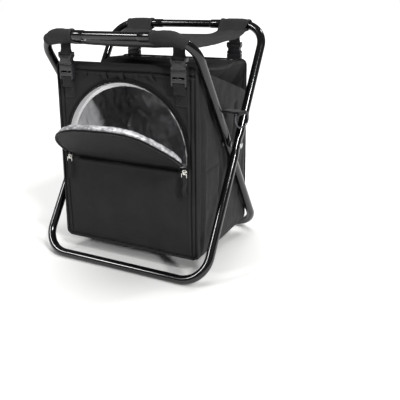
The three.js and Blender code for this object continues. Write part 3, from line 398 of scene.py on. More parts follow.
def two_tones(material, factor, dark, light):
    """Colours a material between two tones; a colour Mix node has them at sockets 6 and 7."""
    mixed = add_node(material, "Mix", {"Factor": factor}, {6: linear(dark), 7: linear(light)}, data_type="RGBA")
    feed(material, "Base Color", mixed, 2)


# Coated polyester, plain weave: threads lie 0.5 mm apart, drawn at 1.1 mm so that the weave can just be seen.
def woven(name, dark, light, spacing, depth, coordinates, roughness=0.62, sheen=0.02):
    """Cloth whose threads lie spacing mm apart and stand depth mm proud, with painted shade in the dips between
    threads, mottled and softly rumpled.
    """
    material = new_material(
        name, dark, roughness, Sheen_Weight=sheen, Sheen_Roughness=0.5, Specular_IOR_Level=0.12)
    place = add_node(material, "TexCoord")
    scaled = add_node(material, "VectorMath", {"Vector": (place, coordinates)},
                      {"Scale": 2 * math.pi / (spacing * MM)}, operation="SCALE")
    waves = add_node(material, "VectorMath", {"Vector": (scaled, "Vector")}, operation="SINE")
    split = add_node(material, "SeparateXYZ", {"Vector": (waves, "Vector")})
    shifted = add_node(material, "CombineXYZ", {"X": (split, "Y"), "Y": (split, "Z"), "Z": (split, "X")})
    crossing = add_node(material, "VectorMath", {0: (waves, "Vector"), 1: (shifted, "Vector")},
                        operation="DOT_PRODUCT")
    # The colour follows the thread relief, lighter on the raised threads and darker in the dips: painted shade. The
    # noise that multiplies it is a random mottle of the cloth's own tone.
    weave_shade_painted = add_node(material, "MapRange", {"Value": (crossing, "Value")},
                     {"From Min": -1, "From Max": 1, "To Min": 0.25, "To Max": 0.6})
    tone = add_node(material, "Math", {0: (weave_shade_painted, "Result"), 1: (clouds(material, 26, 5, 0.6), "Fac")},
                    operation="MULTIPLY")
    two_tones(material, (tone, "Value"), dark, light)
    threads = bump(material, (crossing, "Value"), 0.5, depth)
    bump(material, (clouds(material, 55, 4, 0.55), "Fac"), 0.35, 2.2, threads)
    return material


seat_cloth = woven("charcoal coated polyester seat cloth", "#1b1b1b", "#373738", 1.1, 0.12, "UV")
SAG_CENTRE, SAG_SIDE = 375, 379.5
EDGE_X = 132
OPENING, CUT_DEPTH, CUT_CORNER = 73, 101, 16
SLEEVE_START, SLEEVE_END = 73.2, 129.4
SLEEVE_BORE, CLOTH = 9.2, 1.8
SLEEVE_STITCHES, SLEEVE_TIP, SLEEVE_ROUND = (79.6, 122.4), 26, 10.0
LEAVE = math.radians(35)


def rumple(point, size, seed):
    """Smooth noise at a point, with bumps about size mm apart."""
    x, y, z = (c / size for c in point)
    return noise.noise(Vector((x + 7.3 * seed, y - 3.1 * seed, z + 1.7 * seed)))


def bar_at(side, x):
    """Centre of a top bar and its direction, at a distance x from the middle, on the right."""
    angle = math.asin(max(0, x - (HALF_WIDTHS[side] - BEND)) / BEND)
    down = np.array([0, -side * math.sin(LEAN), -math.cos(LEAN)])
    centre = np.array([x, side * BAR_Y, BAR_HEIGHT]) + down * BEND * (1 - math.cos(angle))
    return centre, np.array([math.cos(angle), 0, 0]) + down * math.sin(angle)


def seam_way(side, along):
    """The direction in which the cloth leaves a bar, square to the bar."""
    inward = np.array([0, -side * math.cos(LEAVE), -math.sin(LEAVE)])
    inward -= along * (inward @ along)
    return inward / np.linalg.norm(inward)


def seat_edge(side, x):
    centre, along = bar_at(side, abs(x))
    edge = centre + seam_way(side, along) * (SLEEVE_BORE + CLOTH / 2)
    return np.array([math.copysign(edge[0], x), edge[1], edge[2]])


def seat_point(x, share):
    front, rear = seat_edge(-1, x), seat_edge(1, x)
    point = front + (rear - front) * (share + 1) / 2
    middle = SAG_CENTRE + (SAG_SIDE - SAG_CENTRE) * (x / EDGE_X) ** 2
    edge = front if share < 0 else rear
    point[2] = middle + (edge[2] - middle) * abs(share) ** 4
    return point


def seat_reach(x):
    """How far towards a bar the seat runs at x: past the grip it stops at the cut-out."""
    if abs(x) >= OPENING:
        return 1.0
    corner = max(0, abs(x) - (OPENING - CUT_CORNER))
    turn = CUT_CORNER - math.sqrt(max(0, CUT_CORNER ** 2 - corner ** 2))
    return (CUT_DEPTH + turn) / abs(seat_edge(1, x)[1])


columns = {*np.linspace(-EDGE_X, EDGE_X, 89), OPENING, -OPENING, OPENING - 0.05, 0.05 - OPENING}
columns = sorted(columns)
seat_rows = []
for v in np.linspace(-1, 1, 75):
    row = []
    for x in columns:
        share = v * seat_reach(x)
        point = seat_point(x, share)
        fade = min(1, (1 - abs(v)) * 8)
        drift = 2.4 * rumple((x / 3, point[1], 0), 60, 20)
        pulled = math.exp(-((abs(x) - 112) / 20) ** 2) * math.sin(abs(x) / 3.6 + drift) * (0.5 + 0.5 * abs(share))
        point[2] += fade * (1.1 * rumple(point, 46, 1) + 0.5 * rumple(point, 17, 2) + 0.9 * pulled)
        row.append(point)
    seat_rows.append(row)
seat = skin("seat_sling_cloth", seat_rows)
work(seat, "SOLIDIFY", thickness=CLOTH * MM, offset=0)
work(seat, "BEVEL", width=0.0005, segments=2, limit_method="ANGLE", angle_limit=math.radians(60))
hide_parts("seat_sling")
dress(seat, seat_cloth)
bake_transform(seat)


def sleeve_ring(side, x, radius, tip, mirror, wobble=1.0):
    """One turn of the cloth round the bar: round at the back, drawn out to the seam under the seat."""
    normal = np.array([0, -side * math.cos(LEAN), math.sin(LEAN)])
    centre, along = bar_at(side, x)
    inward = seam_way(side, along)
    rise = np.cross(along, inward)
    rise *= math.copysign(1, rise @ normal)
    touch = math.acos(radius / tip)
    ring = [(radius * math.cos(a), radius * math.sin(a)) for a in np.linspace(touch, 2 * math.pi - touch, 40)]
    under = [(tip * t + ring[-1][0] * (1 - t), -1.0 * t + ring[-1][1] * (1 - t)) for t in (0.2, 0.4, 0.6, 0.8, 1)]
    over = [(tip * t + ring[0][0] * (1 - t), 1.2 * t + ring[0][1] * (1 - t)) for t in (1, 0.8, 0.6, 0.4, 0.2)]
    points = []
    for a, b in ring + under + over:
        out = inward * a + rise * b
        probe = (centre + out) / 14
        lump = 0.6 * noise.noise(Vector(probe)) + 0.35 * noise.noise(Vector(probe * 2.6))
        hollow = -0.6 * bell(a - (radius + tip) / 2.4, 5) if b > 0 else 0
        points.append((centre + out * (1 + wobble * (lump + hollow) / max(6, math.hypot(a, b)))) * (mirror, 1, 1))
    return points


def bell(value, width):
    return math.exp(-(value / width) ** 2)


for side, end_name, body in ((-1, "front", "inner_frame"), (1, "rear", "outer_frame")):
    for mirror, side_name in ((-1, "left"), (1, "right")):
        places = [73.2, 73.6, 74.6, 76.4, 78.6, 79.6, 80.6] + list(np.linspace(82.5, 120, 26))
        places += [121.4, 122.4, 123.4, 125.6, 127.8, 129, 129.4]
        rows = []
        for x in places:
            end = min(x - SLEEVE_START, SLEEVE_END - x)
            stitch_line = bell(min(abs(x - at) for at in SLEEVE_STITCHES), 0.8)
            hem = 0.7 * (end < 6) - 0.35 * stitch_line - 1.3 * max(0, 1 - end / 0.8)
            swell = 0.5 * math.sin(math.pi * unit((x - 80) / 42))
            tip = SLEEVE_TIP - 2.5 * max(0, (x - 112) / 17)
            rows.append(sleeve_ring(side, x, SLEEVE_ROUND + hem + swell, tip, mirror, min(1, end / 3)))
        inner = [sleeve_ring(side, x, 8.4, 22, mirror, 0) for x in (SLEEVE_END, SLEEVE_START)]
        sleeve = closed_skin(f"seat_sleeve_{end_name}_{side_name}", rows + inner + rows[:1], capped=False)
        dress(sleeve, seat_cloth, body, 50)


# The stitching: bonded polyester thread, 0.64 mm thick, one stitch every 2.6 mm. Each stitch is a short
# tapered bead that stands out of the webbing and is sunk a little at its ends.
thread = new_material("black bonded polyester thread", "#0e0f10", 0.6, Sheen_Weight=0.2)


def stitches(name, path, out, pitch=2.6, gap=0.8, thick=0.32):
    """A row of stitches along a path of points; out points away from the cloth."""
    path, out = np.asarray(path, float), np.asarray(out, float)
    lengths = running(np.diff(path, axis=0))
    count = max(1, int(lengths[-1] // pitch))
    points, faces = [], []
    for i in range(count):
        ends = [(i + 0.5) * pitch - (pitch - gap) / 2, (i + 0.5) * pitch + (pitch - gap) / 2]
        a, b = (np.array([np.interp(d, lengths, path[:, k]) for k in range(3)]) for d in ends)
        along = (b - a) / np.linalg.norm(b - a)
        up = out - along * (out @ along)
        up /= np.linalg.norm(up)
        wide = np.cross(along, up)
        for share, radius in ((0, 0.25), (0.22, 1), (0.78, 1), (1, 0.25)):
            centre = a + (b - a) * share + up * thick * (0.55 * radius - 0.2)
            for angle in np.linspace(0, 2 * math.pi, 6, endpoint=False):
                points.append(centre + (wide * math.cos(angle) + up * math.sin(angle)) * thick * radius)
        base = i * 24
        for ring in range(3):
            for j in range(6):
                k = (j + 1) % 6
                low, high = base + ring * 6, base + ring * 6 + 6
                faces.append((low + j, low + k, high + k, high + j))
        faces.append(tuple(base + j for j in range(6))[::-1])
        faces.append(tuple(base + 18 + j for j in range(6)))
    made = piece(name, points, faces)
    face_out(made, 0)
    return made


# The bag: an insulated box of the same cloth over 4 mm foam, sewn from a front, a back, two side gussets, a top
# and a base. The gussets fold inward when the frame is shut, and keep those creases when it stands.
bag_cloth = woven("charcoal coated polyester bag cloth", "#181818", "#303031", 1.1, 0.12, "Object")
FRONT, REAR, HALF, BASE = -104, 108, 131.8, 31.5
FRONT_TOP, REAR_TOP = 351, 337
WALL = 5.3
ARCH_HEIGHT, HINGE_HEIGHT = 205, 188
SIDE_SEAM, HEADER_SEAM, HINGE_SEAM, LOWER_TOP = 122.6, 338.4, 183.6, 180
SIDE_FULL, SIDE_AT_LEG, TUCK, RIDGE_FRONT, RIDGE_DROP = 133.3, 134.9, 30, 348, 64
STRAP_X = 108


def slab(name, outer, inner):
    """A closed wall between two grids of the same size."""
    outer, inner = np.asarray(outer, float), np.asarray(inner, float)
    rows, width = outer.shape[:2]
    total = rows * width
    u, v = cloth_map(outer)
    faces, maps = [], []
    for i in range(rows - 1):
        for j in range(width - 1):
            a, b, c, d = i * width + j, i * width + j + 1, (i + 1) * width + j + 1, (i + 1) * width + j
            faces.append((a, b, c, d))
            faces.append((total + d, total + c, total + b, total + a))
            corners = [(u[j], v[i]), (u[j + 1], v[i]), (u[j + 1], v[i + 1]), (u[j], v[i + 1])]
            maps += corners + corners[::-1]
    border = [*range(width)] + [i * width + width - 1 for i in range(1, rows)]
    border += [(rows - 1) * width + j for j in range(width - 2, -1, -1)]
    border += [i * width for i in range(rows - 2, 0, -1)]
    for a, b in zip(border, border[1:] + border[:1]):
        faces.append((b, a, total + a, total + b))
        maps += [(u[p % width], v[p // width]) for p in (b, a, a, b)]
    made = piece(name, np.concatenate([outer.reshape(-1, 3), inner.reshape(-1, 3)]), faces, maps)
    face_out(made)
    return made


def rounded(x, z, high, corner=8):
    """Moves a point of a wall so that the wall's corners become round."""
    cx, top, base = HALF - corner, high - corner, BASE + corner
    a = max(0, abs(x) - cx) / corner
    b = (max(0, z - top) or max(0, base - z)) / corner
    if a > 0 and b > 0:
        shrink = max(a, b) / math.hypot(a, b)
        x = math.copysign(cx + a * shrink * corner, x)
        z = top + b * shrink * corner if z > top else base - b * shrink * corner
    return x, z


ROLL = 11


def roll_back(rise):
    """How far a round edge has turned away at a rise above its start."""
    return ROLL - math.sqrt(max(0, ROLL ** 2 - max(0, rise) ** 2))


def panel_relief(x, z, high, rolled=False):
    """A sewn wall rolls back at its edges; its side seams lie 9 mm in, where the gusset wraps the corner."""
    edge = min(HALF - abs(x), z - BASE, 7 if rolled else high - z)
    drawn = 2.6 * max(0, 1 - edge / 7) ** 2
    seam = 2.3 * bell(abs(x) - SIDE_SEAM, 1.5) - 0.9 * bell(abs(x) - 118.6, 1.8) - 0.9 * bell(abs(x) - 127, 2.4)
    return -drawn - seam * unit((high - 8 - z) / 6) * unit((z - BASE) / 10)


def front_relief(x, z):
    """The front wall stands out in a soft crown below the door, is drawn in along the hinge and along the header
    seam, and gathers in small puckers under that seam."""
    radius = math.hypot(x, z - ARCH_HEIGHT) if z > ARCH_HEIGHT else max(abs(x), 1)
    calm = 1 - bell(radius - 118, 7) if z > HINGE_HEIGHT - 12 else 1
    straps = 1 - bell(abs(x) - STRAP_X, 13) * (z > 284)
    relief = panel_relief(x, z, FRONT_TOP, rolled=True)
    if z < LOWER_TOP:
        share = unit((z - BASE) / (LOWER_TOP - BASE))
        relief += 3.0 * math.sin(math.pi * share) ** 0.7 * (1 - (x / HALF) ** 4)
    else:
        calm *= straps
    if abs(x) < 112:
        relief += 1.9 * bell(z - 177.5, 2.6) - 4.5 * bell(z - HINGE_SEAM, 1.9)
    point = (x, 0, z)
    relief += calm * (1.3 * rumple(point, 60, 3) + 0.7 * rumple(point, 21, 4))
    if z > HINGE_HEIGHT:
        relief += 0.9 * bell(radius - 127, 3.5) - 1.8 * bell(radius - 122.9, 1.2)
    seam = HEADER_SEAM + 0.8 * math.sin(x / 31)
    relief += straps * (1.8 * bell(z - seam - 6, 4) - 4.2 * bell(z - seam, 1.4) + 1.9 * bell(z - seam + 4, 2.6))
    depth = (seam - z) / 13
    if 0 < depth < 1:
        fade = math.sin(math.pi * depth) ** 0.5
        for at, lean, size in ((-74, -0.3, 3.0), (-38, 0.25, 6.0), (-4, 0.2, 6.4), (25, 0.1, 2.2), (50, 0.5, 4.2)):
            offset = x - at - lean * (seam - z)
            relief += straps * size * (0.9 * bell(offset, 3.0) - 1.1 * bell(offset - 4.2, 1.7)) * fade
    return relief


def panel_grid(high, step=2.2, fine=()):
    """Points over a wall, closer at the side seams and in the bands of height that fine names."""
    xs = [x for x in np.linspace(-HALF, HALF, int(2 * HALF / step)) if abs(x) < 116]
    edge = np.linspace(116.4, HALF, 18)
    xs = sorted([*xs, *edge, *-edge])
    zs = list(np.linspace(BASE, high, int((high - BASE) / step)))
    for start, end in fine:
        zs = [z for z in zs if not start <= z <= end] + list(np.linspace(start, end, int((end - start) / 0.8)))
    return [[rounded(x, z, high) for x in xs] for z in sorted(zs)]


def arch_outline(radius, sill, corner=0.0):
    """The outline of the mouth or door: a half circle on a short straight foot, closed by a level sill."""
    dip = math.asin((ARCH_HEIGHT - sill) / radius)
    angles = np.linspace(-dip, math.pi + dip, 73)
    points = [(radius * math.cos(a), ARCH_HEIGHT + radius * math.sin(a)) for a in angles]
    if corner:
        foot = points[0][0]
        points = [p for p in points if p[1] > sill + corner]
        start = points[0]
        bow = [((1 - t) ** 2 * (foot - corner) + 2 * t * (1 - t) * (foot + 0.5) + t * t * start[0],
                (1 - t) ** 2 * sill + 2 * t * (1 - t) * sill + t * t * start[1]) for t in np.linspace(0, 0.85, 7)]
        points = bow + points + [(-x, z) for x, z in bow[::-1]]
    return points


def prism(name, outline, y0, y1):
    return closed_skin(name, [[(x, y, z) for x, z in outline] for y in (y0, y1)])


def cut_out(made, tool):
    work(made, "BOOLEAN", object=tool, operation="DIFFERENCE", solver="EXACT")
    bpy.data.objects.remove(tool)


HEM = FRONT_TOP - ROLL
grid = panel_grid(FRONT_TOP, fine=((177, 187), (322, 351)))
outer = [[(x, FRONT - front_relief(x, z) + roll_back(z - HEM), z) for x, z in row] for row in grid]
inner = [[(x, FRONT + WALL + roll_back(z - HEM), z) for x, z in row] for row in grid]
front_panel = slab("bag_front_wall", outer, inner)
cut_out(front_panel, prism("mouth_cutter", arch_outline(117, 187), -120, -90))
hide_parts("front_panel", "front_foam")
dress(front_panel, bag_cloth, "bag_front", 50)


def rear_relief(x, z):
    point = (x, 300, z)
    middle = 2.6 * math.cos(math.pi * x / (2 * HALF)) * math.sin(math.pi * max(0, z - BASE) / 306) ** 0.6
    straps = 1 - bell(abs(x) - STRAP_X, 13) * (z > 278)
    return panel_relief(x, z, REAR_TOP) + straps * (
        middle + 1.2 * rumple(point, 58, 5) + 0.5 * rumple(point, 20, 6))


grid = panel_grid(REAR_TOP)
outer = [[(x, REAR + rear_relief(x, z), z) for x, z in row] for row in grid]
inner = [[(x, REAR - WALL, z) for x, z in row] for row in grid]
rear_panel = slab("bag_rear_wall", outer, inner)
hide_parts("rear_panel", "rear_foam")
dress(rear_panel, bag_cloth, "bag_rear", 50)


SIDE_FRONT, SIDE_REAR = FRONT + 2.3, REAR - 2.3


def span(y):
    """Share of the way from the front wall to the rear one."""
    return unit((y - SIDE_FRONT) / (SIDE_REAR - SIDE_FRONT))


def top_edge(y, side=0):
    """Height of the top edge of a gusset: it hangs below the line between its corners, most on the left."""
    share = unit((y - SIDE_FRONT) / 158)
    line = FRONT_TOP + (REAR_TOP - FRONT_TOP) * (y - FRONT) / (REAR - FRONT)
    return line - (8.5 - 4.5 * side) * math.sin(math.pi * share ** 1.6) - roll_back(FRONT + ROLL - y)


def near(y, z, a, b):
    """Distance from a point of the gusset to the crease between a and b."""
    run, rise = b[0] - a[0], b[1] - a[1]
    t = unit(((y - a[0]) * run + (z - a[1]) * rise) / (run * run + rise * rise))
    return math.hypot(y - a[0] - t * run, z - a[1] - t * rise)


def gusset_reach(y, z, seed):
    """Half width of the bag at a point of its side: full below the ridge that runs down from the front corner,
    tucked in above it, with upright creases where the side folds."""
    s = span(y)
    middle = (1 - abs(2 * s - 1) ** 7) * min(1, 1.15 - 0.15 * s)
    ridge = RIDGE_FRONT - RIDGE_DROP * (y + 100) / 200
    leg = abs((y + BAR_Y) * LEG_RISE + (z - BAR_HEIGHT) * LEG_RUN) / LEG_SPAN
    free = 1 - math.exp(-(leg / 24) ** 2)
    point = (seed * 150, y, z)
    reach = SIDE_FULL
    if z > ridge:
        rise, room = z - ridge, max(1, top_edge(y, seed) - ridge)
        tuck = rise / 10 * math.exp(1 - rise / 10) if rise < 10 else 1
        tuck *= 1 - 0.93 * unit((rise - 8) / max(1, room - 8))
        reach -= TUCK * tuck * min(1, room / 36) * middle
    else:
        share = unit((z - BASE) / (ridge - BASE))
        reach += (7.5 * math.sin(math.pi * min(1, share * 0.93)) ** 0.7 + 2.5 * bell(ridge - z, 9)) * middle * free
    foot = unit((z - BASE) / 30)
    reach -= 3.6 * bell(y + 90.5, 3.4) * foot
    reach += 1.6 * bell(y + 97.5, 3.2) * foot
    reach += 1.6 * bell(y + 82, 4.5) * foot * free
    for depth, width, a, b in ((4.0 * (1 - 0.4 * free), 5.5, (-66, 318), (-22, 196)),
                               (2.6, 6, (-22, 196), (-30, 96)), (3.2, 6.5, (46, 268), (16, 120)),
                               (2.4, 6, (93, 250), (74, 90))):
        reach -= depth * bell(near(y, z, a, b), width)
    if -90 < y < -31:
        reach -= 1.4 * bell(z - 180, 1.9)
    reach += middle * (2.0 * rumple(point, 55, 7) + 1.1 * rumple(point, 20, 8))
    return min(reach, SIDE_AT_LEG + 11 * free)


def stretch(made):
    """Bakes the placement of a piece of the bag into its mesh."""
    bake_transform(made)


for mirror, side_name in ((1, "right"), (-1, "left")):
    ys = np.linspace(SIDE_FRONT, SIDE_REAR, 96)
    outer, inner = [], []
    for share in np.linspace(0, 1, 136):
        row = [(y, BASE + (top_edge(y, mirror) - BASE) * share) for y in ys]
        reach = [gusset_reach(y, z, mirror) for y, z in row]
        outer.append([(mirror * r, y, z) for r, (y, z) in zip(reach, row)])
        inner.append([(mirror * (r - 5.2), y, z) for r, (y, z) in zip(reach, row)])
    gusset = slab(f"bag_{side_name}_gusset", outer, inner)
    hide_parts(f"{side_name}_gusset", f"{side_name}_foam")
    dress(gusset, bag_cloth, None, 50)
    stretch(gusset)

BASE_HALF, BASE_LEVEL = 132.8, 30.2
for lid_name, nodes, wall in (("top", ("top_panel", "top_foam"), -5.0),
                              ("base", ("bottom_panel", "bottom_foam"), 5.0)):
    outer, inner = [], []
    for y in np.linspace(SIDE_FRONT, SIDE_REAR, 90):
        bow = math.sin(math.pi * span(y))
        row = []
        for share in np.linspace(-1, 1, 110):
            if lid_name == "top":
                side = math.copysign(1, share)
                half, level = gusset_reach(y, top_edge(y, side), side) - 1, top_edge(y, share)
                fall, lumpy = -6.5 * bow * (1 - share ** 2) ** 0.8, 1
            else:
                half, level = BASE_HALF, BASE_LEVEL
                fall, lumpy = -0.6 * bow * (1 - share ** 2), 0.35
            x = half * share
            wave = 1.5 * rumple((x, y, 0), 50, 9) + 0.7 * rumple((x, y, 0), 18, 10)
            row.append((x, y, level + fall + wave * bow * (1 - share ** 4) * lumpy))
        outer.append(row)
        inner.append([(x, y, z + wall) for x, y, z in row])
    lid = slab(f"bag_{lid_name}_wall", outer, inner)
    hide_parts(*nodes)
    dress(lid, bag_cloth, None, 50)
    stretch(lid)


# Piping: a thin cord wrapped in a bias strip of the bag cloth and caught in the front and rear seams. The
# front one sinks into the rolled top edge.
def panel_outline(half, low, high, corner, steps=8):
    points = []
    for cx, cz, start in ((half - corner, high - corner, 0), (corner - half, high - corner, 90),
                          (corner - half, low + corner, 180), (half - corner, low + corner, 270)):
        for i in range(steps + 1):
            a = math.radians(start + 90 * i / steps)
            points.append((cx + corner * math.cos(a), cz + corner * math.sin(a)))
    return points


def resampled(points, step, closed=True):
    points = np.asarray(points, float)
    if closed:
        points = np.concatenate([points, points[:1]])
    lengths = running(np.diff(points, axis=0))
    count = max(2, int(round(lengths[-1] / step)))
    marks = np.linspace(0, lengths[-1], count, endpoint=not closed)
    return np.stack([np.interp(marks, lengths, points[:, k]) for k in range(points.shape[1])], 1)


def cord_round(name, path, radius, up, closed=True, sides=10, wobble=0.0, merge=0.00001):
    """A round cord along a path of points."""
    path = np.asarray(path, float)
    rows = []
    for i, point in enumerate(path):
        ahead = path[(i + 1) % len(path)] if closed or i + 1 < len(path) else point
        behind = path[i - 1] if closed or i > 0 else point
        along = (ahead - behind) / np.linalg.norm(ahead - behind)
        across = np.cross(along, up)
        across /= np.linalg.norm(across)
        lift = np.cross(across, along)
        grow = radius * (1 + wobble * noise.noise(Vector(point / 9)))
        rows.append([point + (across * math.cos(a) + lift * math.sin(a)) * grow
                     for a in np.linspace(0, 2 * math.pi, sides, endpoint=False)])
    if closed:
        rows.append(rows[0])
    return closed_skin(name, rows, not closed, merge)


for end_name, y, top in (("front", FRONT + 0.6, FRONT_TOP), ("rear", REAR - 0.6, REAR_TOP)):
    outline = resampled(panel_outline(HALF + 1.7, BASE - 1.7, top + 1.7, 9.7), 3)
    path = []
    for x, z in outline:
        sunk = max(0, (z - top + 8) / 9.7) ** 2 if end_name == "front" else 0
        path.append((x, y + 7.2 * sunk, z - 2.6 * sunk))
    piping = cord_round(f"{end_name}_seam_piping", path, 1.75, np.array([0, 1.0, 0]), wobble=0.12)
    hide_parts(f"{end_name}_piping")
    dress(piping, bag_cloth, f"bag_{end_name}", 60)

# The lining: aluminised film on a polythene backing, a dull mirror crumpled as it is sewn in, round the whole
# inside of the bag. Its front wall turns back behind the mouth, so that the shut door has room.
silver_film = new_material("crumpled aluminised lining film", "#b6b6b8", 0.34, Metallic=0.4)
place = add_node(silver_film, "TexCoord")
creases = add_node(silver_film, "TexVoronoi", {"Vector": (place, "Object")}, {"Scale": 62, "Randomness": 1.0},
                   feature="SMOOTH_F1")
broad = bump(silver_film, (creases, "Distance"), 0.75, 5)
bump(silver_film, (clouds(silver_film, 190, 5, 0.6), "Fac"), 0.35, 1.2, broad)

MIDDLE_Y, MIDDLE_Z, FLOOR_Z = 2, 188, 37.5
LINING_HALF, LINING_FRONT, TURNED_BACK = 126.3, -97.6, 9.5
bpy.ops.mesh.primitive_cube_add(size=1, location=(0, MIDDLE_Y * MM, MIDDLE_Z * MM))
lining = bpy.context.object
lining.name = "bag_lining"
bpy.ops.object.transform_apply(location=True, rotation=False, scale=False)
bpy.ops.object.mode_set(mode="EDIT")
bpy.ops.mesh.subdivide(number_cuts=79)
bpy.ops.object.mode_set(mode="OBJECT")
for vertex in lining.data.vertices:
    x, y, z = vertex.co
    cx, cy, cz = x * 2, (y - MIDDLE_Y * MM) * 2, (z - MIDDLE_Z * MM) * 2
    along = MIDDLE_Y + 100 * cy
    top = top_edge(along, cx) - 12.5 - 14 * math.sin(math.pi * span(along)) * (1 - cx * cx)
    height = FLOOR_Z + (top - FLOOR_Z) * (cz + 1) / 2
    half = min(LINING_HALF, gusset_reach(along, height, math.copysign(1, cx)) - 7)
    point = np.array([half * cx, along, height])
    slant = point * (1, 1, 0.45) + (0, 0.5 * point[2], 0.6 * point[0])
    large, small = (abs(rumple(slant, size, seed)) for size, seed in ((62, 16), (34, 12)))
    wave = 5.5 * max(0, 1 - 2 * large) ** 3 + 3.4 * max(0, 1 - 2.2 * small) ** 2
    wave += 1.2 * rumple(slant, 15, 17)
    if abs(cx) > 0.999:
        wave = 1.2 * wave + (1 - cy ** 8) * (1 - cz ** 8) * (
            10 * abs(rumple(slant, 40, 23)) + 4 * abs(rumple(slant, 17, 24)))
    inward = -np.array([cx * (abs(cx) > 0.999), cy * (abs(cy) > 0.999), cz * (abs(cz) > 0.999)])
    point = point + inward * (0.8 + max(0, wave))
    if cy > 0.999:
        point[1] -= 16 / (1 + math.exp((236 - point[2] + 4 * math.sin(point[0] / 30)) / 3.0)) * (1 - cx ** 6)
    if cy < -0.999:
        radius = math.hypot(point[0], point[2] - ARCH_HEIGHT) if point[2] > ARCH_HEIGHT else abs(point[0])
        turn = unit((126 - radius) / 7) * unit((point[2] - 178) / 6)
        point[1] = LINING_FRONT + turn * TURNED_BACK + 0.3 * wave
    vertex.co = Vector(point) * MM
work(lining, "SOLIDIFY", thickness=0.6 * MM, offset=-1)
hole = [(x, z if z < ARCH_HEIGHT else ARCH_HEIGHT + (z - ARCH_HEIGHT) * 0.94) for x, z in arch_outline(115, 190)]
cut_out(lining, prism("lining_cutter", hole, -110, -70))
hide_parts("liner")
dress(lining, silver_film, None, 60)
stretch(lining)

# The lining's edge at the mouth: a strip of the same film turned round the cut foam and puckered by its stitches,
# coloured lighter than the lining as painted light on the mouth's edge. A flange of it hangs inside, widest at the
# top, and on the right its edge is caught in the zip.
FACING_RADIUS, FACING_SILL, FACING_FRONT = 116.6, 187.4, -104.95
outline = resampled(arch_outline(FACING_RADIUS, FACING_SILL), 3)
rows = []
for i, (x, z) in enumerate(outline):
    ahead, behind = outline[(i + 1) % len(outline)], outline[i - 1]
    along = np.array([ahead[0] - behind[0], ahead[1] - behind[1]])
    along /= np.linalg.norm(along)
    inward = np.array([-along[1], along[0]])
    pucker = 0.5 * noise.noise(Vector((x / 6, 3.0, z / 6))) + 0.25 * math.sin(i * 1.9)
    hang = 2.0 + pucker + 6.6 * max(0, (z - ARCH_HEIGHT) / 117) ** 1.5
    sill = max(0, 1 - (z - FACING_SILL) / 7)
    caught = unit(0.45 + 2.5 * noise.noise(Vector((x / 17, 8.0, z / 17))))
    lip = FACING_FRONT + 3.8 * sill - 1.5 * (1 - sill) * unit(x / 40) * caught
    profile = ((lip + 0.25, 0.1), (lip, 0.5), (lip + 0.25, 0.95), (-103, 0.9), (-100, 0.5), (-96.5, 0.6),
               (-93, 1.4 + pucker), (-91.1, 1.6 + pucker), (-89.8, hang), (-89.0, hang - 0.2), (-89.2, 0.7),
               (-96, 0.2), (-100, 0.1))
    rows.append([(x + inward[0] * reach, max(depth, lip), z + inward[1] * reach) for depth, reach in profile])
facing = closed_skin("mouth_facing", rows + rows[:1], capped=False)
# The strip is the lining film in a lighter colour: painted light on the mouth's edge.
film_strip_painted_lit = grained(
    "bright aluminised film strip", "#dededf", 0.3, (230, 4, 0.6), 0.6, 1.2, Metallic=0.4)
dress(facing, film_strip_painted_lit, "bag_front", 60)

# The door: a D-shaped padded flap in the same cloth, hinged on a strip of cloth along its straight edge and
# held open at 55 degrees. Its foam is wrapped in the silver film, which shows as a bright rim.
DOOR_OPEN = math.radians(55)
HINGE_Y = FRONT + 0.6
DOOR_MIDDLE, DOOR_RINGS = 238.0, 22


def opened(points):
    """Turns points of the shut door about the hinge line to where it stands open, a little warped on the right."""
    points = np.asarray(points, float)
    z = points[..., 2] - HINGE_HEIGHT
    warp = 5.5 * np.exp(-((points[..., 0] - 68) / 48) ** 2) * np.clip(z / 100, 0, 1) ** 2
    y = points[..., 1] - HINGE_Y + warp
    turned_y = y * math.cos(DOOR_OPEN) - z * math.sin(DOOR_OPEN) + HINGE_Y
    turned_z = y * math.sin(DOOR_OPEN) + z * math.cos(DOOR_OPEN) + HINGE_HEIGHT
    return np.stack([points[..., 0], turned_y, turned_z], -1)


def door_shell(name, outline, front, back, front_lift, back_lift, pucker=None):
    """A closed D-shaped pad between a front and a back depth, each lifted by a function of share and place."""
    outline = resampled(outline, 1.8 if pucker else 3.2)
    centre = np.array([0, DOOR_MIDDLE])
    if pucker:
        outline = np.array([p + (p - centre) / np.linalg.norm(p - centre) * (pucker(*p) - 0.4) for p in outline])
    shares = [math.sin(math.pi / 2 * i / DOOR_RINGS) for i in range(DOOR_RINGS, 0, -1)]
    rings = [(s, [centre + (p - centre) * s for p in outline]) for s in shares]
    front_rows = [[(x, front - front_lift(s, x, z), z) for x, z in ring] for s, ring in rings]
    back_rows = [[(x, back + back_lift(s, x, z), z) for x, z in ring] for s, ring in rings]
    return closed_skin(name, opened(front_rows[::-1] + back_rows))


def edge_roll(s, amount, start):
    """Full over the middle, and rolled down to nothing at the rim."""
    return amount * (1 - max(0, (s - start) / (1 - start)) ** 2.2)


def cloth_lift(s, x, z):
    swell = 2.0 * (1 - s * s) + 0.8 * rumple((x, 0, z), 48, 13) * (1 - s ** 6)
    return edge_roll(s, 1.4, 0.94) + swell


DOOR_RADIUS, PLUG_RADIUS, DOOR_CORNER = 115.6, 113.1, 20
door_front = door_shell("door_cloth", arch_outline(DOOR_RADIUS, 189, DOOR_CORNER), FRONT + 0.5, FRONT + 1.1,
                        cloth_lift, lambda s, x, z: 0.0)
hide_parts("door_panel")
dress(door_front, bag_cloth, "door", 60)


def film_lift(s, x, z):
    """The film stands up in creases on the inner face, with fine ones along the rim."""
    place = (x, 0, z)
    rim = 0.4 * rumple(place, 6, 25) * bell((s - 0.95) / 0.05, 1)
    creases = 1.6 * max(0, 1 - 2.2 * abs(rumple(place, 26, 14))) ** 2 * min(1, (1 - s) * 12)
    return edge_roll(s, 5.6, 0.955) + rim + creases + rumple(place, 9, 15) * min(1, (1 - s) * 16)


